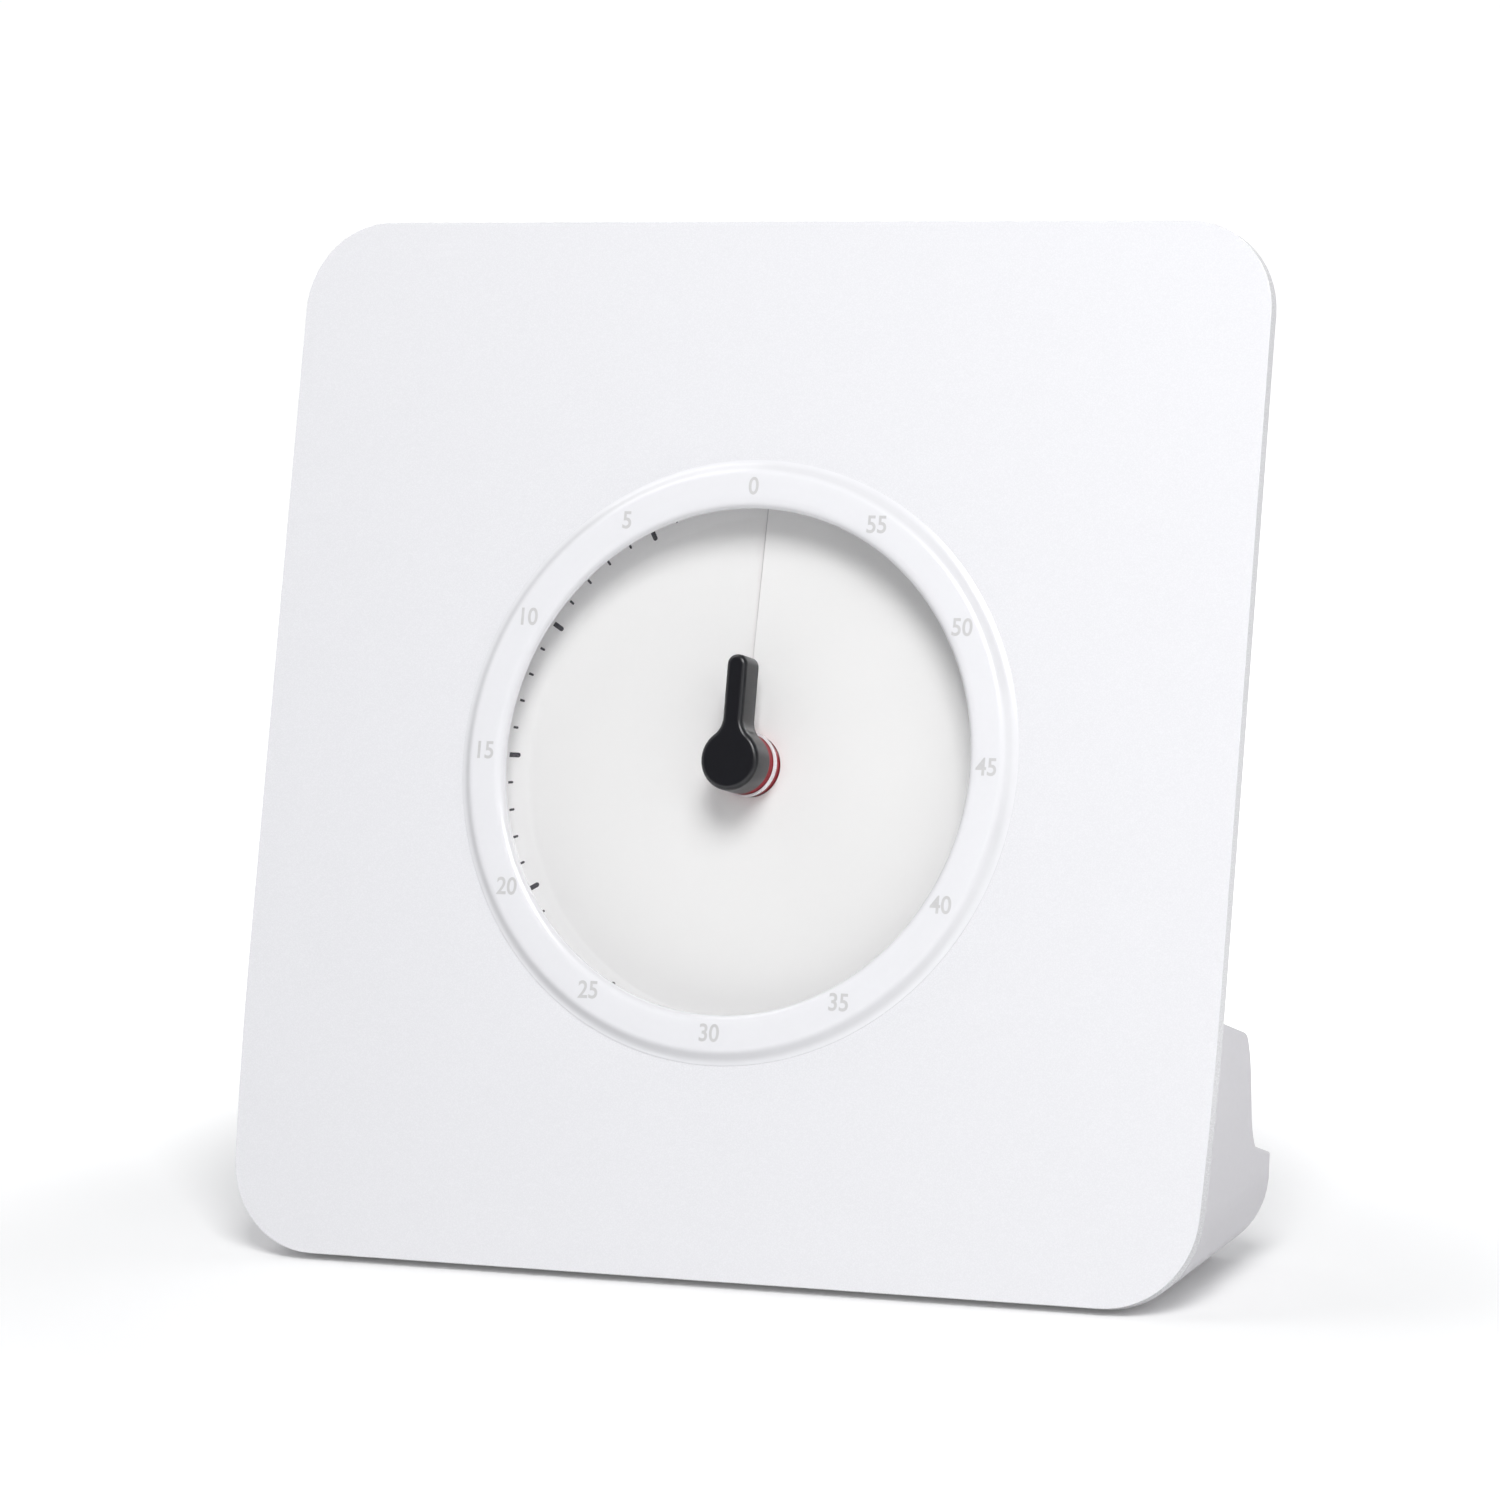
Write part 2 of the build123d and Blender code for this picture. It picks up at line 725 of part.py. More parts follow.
def gear_cover_screw_places():
    x, y, width, height = gear_cover_frame()
    inset = gear_cover_corner
    return [
        (x + sx * (width / 2 - inset), y + sy * (height / 2 - inset))
        for sx in (-1, 1)
        for sy in (-1, 1)
    ]


def make_gear_cover():
    """The box over the gears: it carries the spindle's rear bearing, idler pin and motor."""
    x, y, width, height = gear_cover_frame()
    cover = slab(width, height, gear_cover_back, tray_back, x, y, gear_cover_corner)
    wall = 2 * gear_cover_wall
    hollow = slab(
        width - wall, height - wall, gear_cover_inside, tray_back + 1, x, y,
        gear_cover_corner - gear_cover_wall,
    )
    cover -= hollow
    for px, py in gear_cover_screw_places():
        cover += disc(gear_cover_boss_radius, gear_cover_back, tray_back, px, py) & slab(
            width, height, gear_cover_back, tray_back, x, y, gear_cover_corner
        )
    for px, py in gear_cover_screw_places():
        cover -= disc(screw_radius + screw_hole_gap, gear_cover_back - 1, tray_back + 1, px, py)
    for px, py in motor_screw_places():
        cover -= disc(screw_radius, gear_cover_back - 1, gear_cover_inside + 1, px, py)
    cover -= disc(spindle_radius + bearing_gap, gear_cover_back - 1, gear_cover_inside + 1)
    cover -= disc(
        pin_radius, gear_cover_inside - gear_cover_wall / 2, gear_cover_inside + 1,
        idler_x, idler_y,
    )
    cover -= disc(
        pin_radius + 2 * bearing_gap, gear_cover_back - 1, gear_cover_inside + 1, motor_x, motor_y
    )
    return cover


def make_gear_cover_screws():
    tip = tray_top - tray_floor / 3
    return [screw(x, y, gear_cover_back, tip) for x, y in gear_cover_screw_places()]


def make_motor_screws():
    seat = gear_cover_back - motor_ear_thickness
    return [screw(x, y, seat, gear_cover_inside) for x, y in motor_screw_places()]


# ---------------------------------------------------------------- dial housing
def make_housing():
    """The round cover behind the panel, with all its openings, bosses and ledges."""
    body = disc(housing_radius, housing_back, panel_back)
    body = fillet(body.edges().filter_by(GeomType.CIRCLE).sort_by(Axis.Z)[0], housing_back_round)
    body += disc(housing_radius + flange_width, flange_back, panel_back)
    inner_round = housing_back_round - housing_wall
    hollow = disc(housing_inner_radius, housing_inside, panel_back + 1)
    hollow = fillet(
        hollow.edges().filter_by(GeomType.CIRCLE).sort_by(Axis.Z)[0], inner_round
    )
    body -= hollow
    body += ring(
        housing_inner_radius + tiny, housing_inner_radius - ledge_width,
        tray_back - ledge_height, tray_back,
    )
    for x, y in flange_screw_places():
        body -= disc(screw_radius + screw_hole_gap, flange_back - 1, panel_back + 1, x, y)
    for x, y in board_screw_places():
        body += disc(boss_radius, housing_inside - tiny, board_back, x, y)
    for x, y in board_screw_places():
        body -= disc(screw_radius, housing_inside + boss_floor, board_back + 1, x, y)
    body += ring(
        sounder_radius + sounder_fence_gap + sounder_fence_wall, sounder_radius + sounder_fence_gap,
        housing_inside - tiny, housing_inside + sounder_fence_height, sounder_x, sounder_y,
    )
    middle_slot = (grille_slots - 1) / 2
    for i in range(grille_slots):
        rise = (i - middle_slot) * grille_pitch
        length = 2 * grille_reach * (sounder_radius ** 2 - rise ** 2) ** 0.5
        body -= Pos(sounder_x, sounder_y + rise, housing_back - 1) * extrude(
            SlotOverall(length, grille_slot_width), housing_wall + 2
        )
    body -= disc(
        volume_shaft_radius + 2 * bearing_gap, housing_back - 1, housing_inside + 1,
        volume_x, volume_y,
    )
    body -= slab(
        battery_mouth_width, battery_mouth_height, housing_back - 1, housing_inside + 1,
        0, -battery_drop,
    )
    body -= slab(
        door_width + 2 * door_gap, door_height + 2 * door_gap, housing_back - 1,
        door_top_z + seat_gap, 0, -battery_drop,
    )
    for side in (-1, 1):
        socket = Pos(side * door_width / 2, hinge_y, hinge_z) * Rot(0, 90, 0) * Cylinder(
            hinge_pin_radius + bearing_gap, 2 * (hinge_pin_length + door_gap)
        )
        body -= socket
    return body


def make_housing_screws():
    tip = panel_back + screw_bite
    return [screw(x, y, flange_back, tip) for x, y in flange_screw_places()]


# ---------------------------------------------------------------- batteries and door
def cell_places():
    """Middle of each cell's body and the way its positive end points."""
    return [
        (
            way * (spring_length - cell_nub_length) / 2 + column * cell_length / 2,
            -battery_drop + way * cell_spacing / 2,
            way,
        )
        for way in (-1, 1)
        for column in (-1, 1)
    ]


def make_battery_box():
    """The open-backed box that the cells lie in."""
    outer_width = battery_mouth_width + 2 * battery_wall
    outer_height = battery_mouth_height + 2 * battery_wall
    back = housing_inside
    box = slab(outer_width, outer_height, back, battery_floor, 0, -battery_drop)
    box -= slab(
        battery_mouth_width, battery_mouth_height, back - 1, battery_floor - battery_wall,
        0, -battery_drop,
    )
    return box


def make_batteries():
    """Four cylindrical cells, each with its raised positive end."""
    cells = []
    body_length = cell_length - cell_nub_length
    for x, y, way in cell_places():
        body = Pos(x, y, cell_axis) * Rot(0, 90, 0) * Cylinder(cell_radius, body_length)
        body = fillet(body.edges().filter_by(GeomType.CIRCLE), cell_edge_round)
        nub_length = cell_nub_length + tiny
        end = way * (body_length / 2 - tiny + nub_length / 2)
        nub = Pos(x + end, y, cell_axis) * Rot(0, 90, 0) * Cylinder(
            cell_nub_radius, nub_length
        )
        cells.append(body + nub)
    return cells


def make_battery_springs():
    """A coil spring at the negative end of each row."""
    coils = []
    margin = spring_wire_radius + seat_gap
    height = spring_length - 2 * margin
    for way in (-1, 1):
        y = -battery_drop + way * cell_spacing / 2
        helix = Edge.make_helix(
            pitch=height / spring_turns, height=height, radius=cell_radius / 2
        )
        section = Plane(origin=helix @ 0, z_dir=helix % 0) * Circle(spring_wire_radius)
        coil = sweep(section, path=helix, is_frenet=True)
        start = -way * (battery_mouth_width / 2 - contact_thickness - margin)
        coils.append(Pos(start, y, cell_axis) * Rot(0, way * 90, 0) * coil)
    return coils


def make_battery_contacts():
    """The plates at the ends of the rows: one at each end of each row."""
    plates = []
    for way in (-1, 1):
        y = -battery_drop + way * cell_spacing / 2
        for end in (-1, 1):
            x = end * (battery_mouth_width - contact_thickness) / 2
            size = 2 * (cell_radius - contact_margin)
            plates.append(Pos(x, y, cell_axis) * Box(contact_thickness, size, size))
    return plates


def make_battery_door():
    """The door: flush with the housing's back, turning on two pins at its lower edge."""
    door = slab(
        door_width, door_height, housing_back, door_top_z, 0, -battery_drop
    )
    round_edge = [
        e for e in door.edges().filter_by(Axis.X) if abs(e.center().Y - door_bottom_y) < tiny
    ]
    door = fillet(round_edge, door_thickness / 2 - tiny)
    for side in (-1, 1):
        pin = Pos(side * (door_width / 2 + hinge_pin_length / 2), hinge_y, hinge_z)
        door += pin * Rot(0, 90, 0) * Cylinder(hinge_pin_radius, hinge_pin_length + tiny)
    recess_y = -battery_drop + door_height / 2 - thumb_recess_radius * 0.35
    recess = disc(
        thumb_recess_radius, housing_back - 1, housing_back + thumb_recess_depth, 0, recess_y
    )
    recess &= slab(
        door_width, thumb_recess_radius, housing_back - 2, door_top_z, 0,
        recess_y - thumb_recess_radius / 2,
    )
    return door - recess


# ---------------------------------------------------------------- electronics
def board_screw_places():
    x = board_width / 2 - boss_radius
    y = board_height / 2 - boss_radius
    return [(-x, board_rise + y), (x, board_rise + y), (-x, board_rise - y), (x, board_rise - y)]


def make_board():
    board = slab(
        board_width, board_height, board_back, board_front, 0, board_rise, board_corner
    )
    for x, y in board_screw_places():
        board -= disc(screw_radius + screw_hole_gap, board_back - 1, board_front + 1, x, y)
    return board


def make_board_parts():
    """The chip, capacitors and wire sockets soldered to the board."""
    step = board_width / 10
    chip = slab(1.5 * step, 1.2 * step, board_front, board_front + chip_rise, step, board_rise)
    crystal = slab(
        step, step / 2, board_front, board_front + 1.5 * chip_rise, 2.6 * step, board_rise + step
    )
    tall = disc(
        capacitor_radius, board_front, board_front + capacitor_rise, -1.7 * step,
        board_rise - step / 2,
    )
    small = disc(
        0.6 * capacitor_radius, board_front, board_front + 0.6 * capacitor_rise, -step / 2,
        board_rise + 1.4 * step,
    )
    sockets = [
        slab(socket_width, socket_height, board_front, board_front + socket_rise, x, y)
        for x, y in socket_places()
    ]
    return [chip, crystal, tall, small] + sockets


def make_board_screws():
    tip = board_back - screw_bite + boss_floor / 2
    return [screw(x, y, board_front, tip, head_outwards=1) for x, y in board_screw_places()]


def make_sounder():
    """The small loudspeaker behind the slots: basket with a magnet cup."""
    back = housing_inside + seat_gap
    front = back + sounder_depth
    rim = back + basket_share * sounder_depth
    basket = disc(sounder_radius, back, rim, sounder_x, sounder_y)
    basket += disc(magnet_radius, back, front, sounder_x, sounder_y)
    basket -= disc(
        sounder_radius - basket_wall, back - 1, back + cone_room, sounder_x, sounder_y
    )
    return basket


def make_sounder_cone():
    """The paper cone in the basket's mouth."""
    back = housing_inside + seat_gap + cone_thickness
    return disc(
        sounder_radius - basket_wall, back, back + cone_thickness, sounder_x, sounder_y
    )


def make_volume_pot():
    """The volume control under the board's edge, with its shaft hole."""
    pot = slab(
        pot_size, pot_size, housing_inside + pot_floor, board_back, volume_x, volume_y, pot_corner
    )
    return pot - disc(
        volume_shaft_radius + 2 * bearing_gap, housing_inside - 1, board_back - pot_cap,
        volume_x, volume_y,
    )


def make_volume_knob():
    """The volume dial on the back, with its shaft, flats to grip and a pointer line."""
    seat = housing_back - volume_gap
    end = seat - volume_height
    grip = RegularPolygon(volume_radius, volume_flats)
    grip = fillet(grip.vertices(), volume_corner)
    knob = Pos(volume_x, volume_y, end) * extrude(grip, volume_height)
    knob = fillet(knob.faces().sort_by(Axis.Z)[0].edges(), volume_edge_round)
    knob -= slab(
        volume_mark_width, volume_radius * 0.7, end - 1, end + volume_mark_depth,
        volume_x, volume_y + volume_radius * 0.5,
    )
    shaft_end = board_back - pot_cap - bearing_gap
    return knob + disc(volume_shaft_radius, seat - tiny, shaft_end, volume_x, volume_y)


def socket_places():
    """Wire sockets along the board's lower edge: batteries, motor and sounder."""
    y = board_rise - board_height / 2 + socket_height / 2 + board_thickness
    return [(share * board_width, y) for share in (-0.28, 0.1, 0.31)]


def plug_in(x):
    """The last points of a wire that goes straight down into a socket."""
    y = socket_places()[0][1]
    top = board_front + socket_rise
    rise = 2 * wire_spacing
    return [(x, y - socket_width, top + rise), (x, y, top + rise), (x, y, top)]


def make_battery_wires():
    """A pair of wires from the battery box up the left side to the board."""
    box_top = -battery_drop + battery_mouth_height / 2 + battery_wall
    x = socket_places()[0][0]
    behind = gear_cover_back - 2.0
    start = -battery_mouth_width * 0.375
    return [
        wire_run([
            (start + step, box_top, behind), (start + step, box_top + wire_lead, behind),
            (2 * step - wire_bow, -battery_drop * 0.27, behind - 1),
            (2 * step - wire_bow, board_rise * 0.18, behind - 2),
            (1.5 * x + step, board_rise * 0.53, behind - 1), *plug_in(x + step),
        ])
        for step in (-wire_spacing / 2, wire_spacing / 2)
    ]


def make_motor_wires():
    """A pair of wires from the back of the motor to the board."""
    x = socket_places()[1][0]
    back = gear_cover_back - motor_depth / 2
    return [
        wire_run([
            (motor_x - motor_radius, motor_y + step, back),
            (motor_x - 1.5 * motor_radius, motor_y + step, back),
            (x + step, -board_height / 10, back), (x - step, board_height * 0.75, back),
            *plug_in(x + step),
        ])
        for step in (-wire_spacing / 2, wire_spacing / 2)
    ]


def make_sounder_wires():
    """A pair of wires from the sounder's rim to the board."""
    x = socket_places()[2][0]
    rim = housing_inside + seat_gap + basket_share * sounder_depth
    level = rim + sounder_depth * 0.6
    start = sounder_x - sounder_radius * 0.8
    return [
        wire_run([
            (start, sounder_y + step, rim), (start, sounder_y + step, level),
            (start - sounder_radius / 2, sounder_y + sounder_radius / 3 + step, level),
            (x + 4 * wire_spacing + step, board_height + step, level + 1), *plug_in(x + step),
        ])
        for step in (-wire_spacing / 2, wire_spacing / 2)
    ]


# ---------------------------------------------------------------- stand
def on_panel(height, depth):
    """Place beside the panel (up it, behind its front face) as (y, z) on the floor's frame."""
    return (
        height * sin(lean) + depth * cos(lean),
        bottom_front_z + height * cos(lean) - depth * sin(lean),
    )


def dial_to_floor():
    """Leans the dial's frame back and stands it on the floor."""
    y, z = on_panel(dial_height, 0)
    return Location((0, y, z), (90.0 - lean_angle, 0, 0))


def rim_fall():
    """How steeply the wing's top and the tray's rim fall towards the back."""
    return tan(lean + radians(wing_drop_angle))


def wing_shoulder():
    """The wing's top rear corner, before it is rounded."""
    top = on_panel(wing_height, panel_thickness)
    y = wing_depth - shoulder_draw
    return (y, top[1] - (y - top[0]) * rim_fall())


def stand_side_view():
    """The stand from the side, cut flat at the base later: wing, its bent back, tray rim, back."""
    foot = on_panel(-stand_wall, panel_thickness)
    top = on_panel(wing_height, panel_thickness)
    shoulder = wing_shoulder()
    bend = (wing_depth, shoulder[1] - shoulder_height)
    flare = (wing_depth, ledge_top + flare_height)
    ledge = (wing_depth + flare_draw, ledge_top)
    back = tray_middle_depth + stand_wall
    rim = (back, ledge_top - (back - ledge[0]) * rim_fall())
    outline = Polyline(shoulder, top, foot, (back, foot[1]), rim, ledge)
    outline += TangentArc(flare, ledge, tangent=(0, -1))
    outline += Line(flare, bend)
    outline += TangentArc(bend, shoulder, tangent=(0, 1))
    face = make_face(outline)
    corner = [v for v in face.vertices() if abs(v.X - shoulder[0]) < tiny and v.Y > bend[1]]
    return fillet(corner, wing_round)


def prism_across(face, half_width):
    """A side view drawn on (y, z), carried across the stand."""
    return extrude(Plane.YZ.offset(-half_width) * face, 2 * half_width)


def swept_outline(inset):
    """The panel's outline carried straight back along the floor, from just ahead of its back."""
    face = dial_to_floor() * (Pos(0, 0, panel_back) * panel_outline(inset))
    return Pos(0, -stand_wall, 0) * extrude(face, amount=2 * tray_middle_depth, dir=(0, 1, 0))


def tray_plan(inset):
    """The stand from above: its back is bowed out in the middle and leans out towards the rim."""
    half = panel_width
    bow_half = panel_width / 2
    end = tray_end_depth - inset
    middle = tray_middle_depth - inset
    back = ThreePointArc((-bow_half, end), (0, middle), (bow_half, end))
    edges = Polyline(
        (bow_half, end), (half, end), (half, -panel_height), (-half, -panel_height),
        (-half, end), (-bow_half, end),
    )
    slant = tan(radians(back_lean))
    face = Pos(0, -ledge_top * slant, 0) * make_face(Curve() + back + edges)
    return extrude(face, amount=panel_height, dir=(0, slant, 1))


def housing_space(gap):
    """The room that the dial housing and its flange need, with a gap round them."""
    body = disc(housing_radius + gap, -panel_height, 0)
    heads_back = flange_back - screw_head_height
    return body + disc(housing_radius + flange_width + gap, heads_back - gap, 0)


def stand_rear_edges(shape, front):
    """Edges round the stand's side faces and rear face, away from the panel and the base."""
    low = ledge_top - (tray_middle_depth - wing_depth) * rim_fall()
    edges = [e for e in shape.edges() if e.center().Y > front + tiny and e.center().Z > low]
    at_side = [e for e in edges if abs(e.center().X) > panel_width / 2 - side_draw]
    at_rear = [e for e in edges if e.center().Y > tray_end_depth + stand_wall]
    return at_side + at_rear


def make_stand():
    """The one-piece stand: a shell, closed at the front by the panel, with an open pen tray."""
    top = on_panel(wing_height, panel_thickness)
    shoulder = wing_shoulder()
    outer = prism_across(stand_side_view(), panel_width)
    outer = outer & swept_outline(0.0) & tray_plan(0.0)
    outer = fillet(stand_rear_edges(outer, top[0]), stand_edge_round)

    wall = stand_wall
    base = on_panel(0, panel_thickness)
    tray_inside = tray_middle_depth - wall
    inner_points = [
        (base[0] - wall, base[1] + wall), (tray_inside, base[1] + wall),
        (tray_inside, trough_floor - wall), (wing_depth - wall, trough_floor - wall),
        (wing_depth - wall, shoulder[1] - shoulder_height),
        (shoulder[0] - wall, shoulder[1] - wall),
        (top[0], top[1] - wall / cos(lean)), (top[0] - 4 * wall, top[1] - wall),
    ]
    hollow = prism_across(Polygon(*inner_points, align=None), panel_width)
    hollow = hollow & swept_outline(wall) & tray_plan(wall)
    notch = dial_to_floor() * housing_space(notch_gap)
    hollow = hollow - dial_to_floor() * housing_space(notch_gap + wall)

    trough_points = [
        (wing_depth, trough_floor), (2 * tray_middle_depth, trough_floor),
        (2 * tray_middle_depth, shoulder[1]), (wing_depth, shoulder[1]),
    ]
    trough = prism_across(Polygon(*trough_points, align=None), trough_half_length)
    trough = trough & tray_plan(wall)

    stand = outer - hollow - trough
    for x, y in stand_screw_places():
        tube = dial_to_floor() * disc(well_radius, -panel_height / 2, panel_back, x, y)
        stand = stand + (tube & outer - trough)
    for x, y in stand_screw_places():
        bore = disc(well_bore, -panel_height, panel_back - well_base, x, y)
        hole = disc(screw_radius + screw_hole_gap, panel_back - 2 * well_base, 0, x, y)
        stand = stand - dial_to_floor() * bore - dial_to_floor() * hole
    stand = stand - notch
    for x, y in tongue_places():
        root = slab(tongue_width, tongue_height, panel_back - 2 * stand_wall, panel_back, x, y)
        foot_block = slab(
            tongue_width, tongue_rise, panel_back - 2 * stand_wall, panel_back, x,
            panel_bottom + tongue_rise / 2,
        )
        tongue = slab(
            tongue_width, tongue_height, panel_back - tiny, panel_back + tongue_reach, x, y
        )
        stand = stand + (dial_to_floor() * (root + foot_block) & outer)
        stand = stand + dial_to_floor() * tongue
    for x, y in foot_places:
        for side in (-1, 1):
            stand -= disc(foot_radius + foot_gap, 0, foot_height + foot_recess, side * x, y)
    return stand


def make_stand_screws():
    seat = panel_back - well_base
    tip = panel_back + screw_bite
    return [screw(x, y, seat, tip) for x, y in stand_screw_places()]


def make_feet():
    feet = []
    for x, y in foot_places:
        for side in (-1, 1):
            foot = disc(foot_radius, 0, foot_height + foot_recess, side * x, y)
            low_edge = foot.edges().filter_by(GeomType.CIRCLE).sort_by(Axis.Z)[0]
            feet.append(fillet(low_edge, foot_edge_round))
    return feet


# ---------------------------------------------------------------- assembly and files
def build_nodes():
    """Every node by name, on the floor's frame."""
    on_dial = {
        "front_panel": make_front_panel(),
        "panel_back_cover": make_back_cover(),
        "back_cover_screws": make_cover_screws(),
        "dial_bezel": make_bezel(),
        "dial_lens": make_lens(),
        "lens_retainer": make_lens_retainer(),
        "lens_grommet": make_lens_grommet(),
        "dial_face": make_dial_face(),
        "red_disc": make_red_disc(),
        "disc_hub": make_disc_hub(),
        "setting_knob": make_knob(),
        "knob_spindle": make_spindle(),
        "spindle_bush": make_spindle_bush(),
        "spindle_clip": make_spindle_clip(),
        "dial_tray": make_dial_tray(),
        "spindle_wheel": make_spindle_wheel(),
        "clutch_spring": make_clutch_spring(),
        "idler_wheel": make_idler_wheel(),
        "idler_pin": make_idler_pin(),
        "gear_cover": make_gear_cover(),
        "gear_cover_screws": make_gear_cover_screws(),
        "motor_pinion": make_motor_pinion(),
        "geared_motor": make_motor(),
        "motor_screws": make_motor_screws(),
        "dial_housing": make_housing(),
        "housing_screws": make_housing_screws(),
        "battery_box": make_battery_box(),
        "batteries": make_batteries(),
        "battery_springs": make_battery_springs(),
        "battery_contacts": make_battery_contacts(),
        "battery_door": make_battery_door(),
        "circuit_board": make_board(),
        "board_components": make_board_parts(),
        "board_screws": make_board_screws(),
        "sounder": make_sounder(),
        "sounder_cone": make_sounder_cone(),
        "volume_control": make_volume_pot(),
        "volume_dial": make_volume_knob(),
        "battery_wires": make_battery_wires(),
        "motor_wires": make_motor_wires(),
        "sounder_wires": make_sounder_wires(),
        "stand_screws": make_stand_screws(),
    }
    place = dial_to_floor()
    nodes = {}
    for name, pieces in on_dial.items():
        solids = pieces if isinstance(pieces, list) else [pieces]
        nodes[name] = [place * solid for solid in solids]
    nodes["stand_housing"] = [make_stand()]
    nodes["rubber_feet"] = make_feet()
    return nodes


def centring_shift(nodes):
    """The move that puts the origin at the bottom centre of the whole timer."""
    boxes = [solid.bounding_box() for solids in nodes.values() for solid in solids]
    middle_x = (min(b.min.X for b in boxes) + max(b.max.X for b in boxes)) / 2
    middle_y = (min(b.min.Y for b in boxes) + max(b.max.Y for b in boxes)) / 2
    return Pos(-middle_x, -middle_y, -min(b.min.Z for b in boxes))


def main():
    os.makedirs("parts", exist_ok=True)
    floor_nodes = build_nodes()
    shift = centring_shift(floor_nodes)
    nodes = {name: [shift * s for s in solids] for name, solids in floor_nodes.items()}
    for name, solids in nodes.items():
        shape = solids[0] if len(solids) == 1 else Compound(solids)
        export_step(shape, "parts/" + name + ".step")
    return shift, nodes


shift, nodes = main()
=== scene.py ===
import json
import math

import bmesh
import bpy
from mathutils import Matrix, Vector


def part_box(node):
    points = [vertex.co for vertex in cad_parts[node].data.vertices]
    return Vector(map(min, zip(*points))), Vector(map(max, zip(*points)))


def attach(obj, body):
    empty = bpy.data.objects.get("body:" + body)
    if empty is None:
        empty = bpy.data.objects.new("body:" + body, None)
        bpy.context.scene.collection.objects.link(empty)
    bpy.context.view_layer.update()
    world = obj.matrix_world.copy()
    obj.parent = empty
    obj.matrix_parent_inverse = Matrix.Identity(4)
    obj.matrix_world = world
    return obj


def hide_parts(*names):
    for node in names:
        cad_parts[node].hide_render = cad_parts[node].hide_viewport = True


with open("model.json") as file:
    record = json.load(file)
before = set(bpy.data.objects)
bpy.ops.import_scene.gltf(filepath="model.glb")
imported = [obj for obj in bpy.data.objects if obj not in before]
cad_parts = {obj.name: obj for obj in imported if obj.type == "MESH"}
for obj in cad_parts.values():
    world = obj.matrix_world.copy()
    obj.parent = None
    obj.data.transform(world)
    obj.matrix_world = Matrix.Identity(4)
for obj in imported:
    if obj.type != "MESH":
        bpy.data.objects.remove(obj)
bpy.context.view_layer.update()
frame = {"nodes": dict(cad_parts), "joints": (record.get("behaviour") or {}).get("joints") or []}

# All lengths below are millimetres unless a name says otherwise.
MM = 0.001
NODES = frame["nodes"]

# ---------------------------------------------------------------- the dial's frame
KNOB_JOINT = next(j for j in frame["joints"] if j["name"] == "knob_turn")
NORMAL = Vector(KNOB_JOINT["axis"]).normalized()
ACROSS = Vector((1, 0, 0))
UP = NORMAL.cross(ACROSS)
DIAL_TURN = Matrix((ACROSS, UP, NORMAL)).transposed().to_4x4()
DIAL = Matrix.Translation(Vector(KNOB_JOINT["pos_m"])) @ DIAL_TURN


def on_dial(x, y, z):
    """A point across, up and out from the dial centre on the panel's front face."""
    return DIAL @ Vector((x * MM, y * MM, z * MM))


def round_dial(radius, angle, z):
    """A point at a radius and an angle (radians, anticlockwise from the right) on the dial."""
    return on_dial(radius * math.cos(angle), radius * math.sin(angle), z)


# ---------------------------------------------------------------- materials
NOISE_MIDDLE = (0.3, 0.7)    # the part of a noise's values that is spread over a whole range


def new_material(name):
    """A material with a plain shader; gives it, its node tree, the shader and the output."""
    mat = bpy.data.materials.new(name)
    mat.use_nodes = True
    tree = mat.node_tree
    tree.nodes.clear()
    out = tree.nodes.new("ShaderNodeOutputMaterial")
    shader = tree.nodes.new("ShaderNodeBsdfPrincipled")
    tree.links.new(shader.outputs["BSDF"], out.inputs["Surface"])
    return mat, tree, shader, out


def grain(tree, scale, detail, stretch=None):
    """A noise in the object's own coordinates; scale is features per metre."""
    coords = tree.nodes.new("ShaderNodeTexCoord")
    source = coords.outputs["Object"]
    if stretch:
        mapping = tree.nodes.new("ShaderNodeMapping")
        mapping.inputs["Scale"].default_value = stretch
        tree.links.new(source, mapping.inputs["Vector"])
        source = mapping.outputs["Vector"]
    tex = tree.nodes.new("ShaderNodeTexNoise")
    tex.inputs["Scale"].default_value = scale
    tex.inputs["Detail"].default_value = detail
    tree.links.new(source, tex.inputs["Vector"])
    return tex.outputs["Fac"]


def ranged(tree, value, source, target, smooth=False):
    """Maps the source range of a value onto the target range, and keeps within it."""
    node = tree.nodes.new("ShaderNodeMapRange")
    if smooth:
        node.interpolation_type = "SMOOTHSTEP"
    for name, number in zip(("From Min", "From Max", "To Min", "To Max"), (*source, *target)):
        node.inputs[name].default_value = number
    tree.links.new(value, node.inputs["Value"])
    return node.outputs["Result"]


def spread(tree, noise, low, high):
    """Maps the middle of a noise onto a range."""
    return ranged(tree, noise, NOISE_MIDDLE, (low, high))


def mixed(tree, factor, first, second, blend="MIX"):
    """Two colours, each a plain colour or a socket, mixed by a factor."""
    node = tree.nodes.new("ShaderNodeMix")
    node.data_type = "RGBA"
    node.blend_type = blend
    tree.links.new(factor, node.inputs["Factor"])
    sockets = [s for s in node.inputs if s.type == "RGBA"]
    for socket, colour in zip(sockets, (first, second)):
        if isinstance(colour, tuple):
            socket.default_value = (*colour, 1)
        else:
            tree.links.new(colour, socket)
    return next(s for s in node.outputs if s.type == "RGBA")


def bumped(tree, shader, heights, strength, distance_mm):
    """Roughens a shader's surface by a bump as deep as the distance."""
    node = tree.nodes.new("ShaderNodeBump")
    node.inputs["Strength"].default_value = strength
    node.inputs["Distance"].default_value = distance_mm * MM
    tree.links.new(heights, node.inputs["Height"])
    tree.links.new(node.outputs["Normal"], shader.inputs["Normal"])


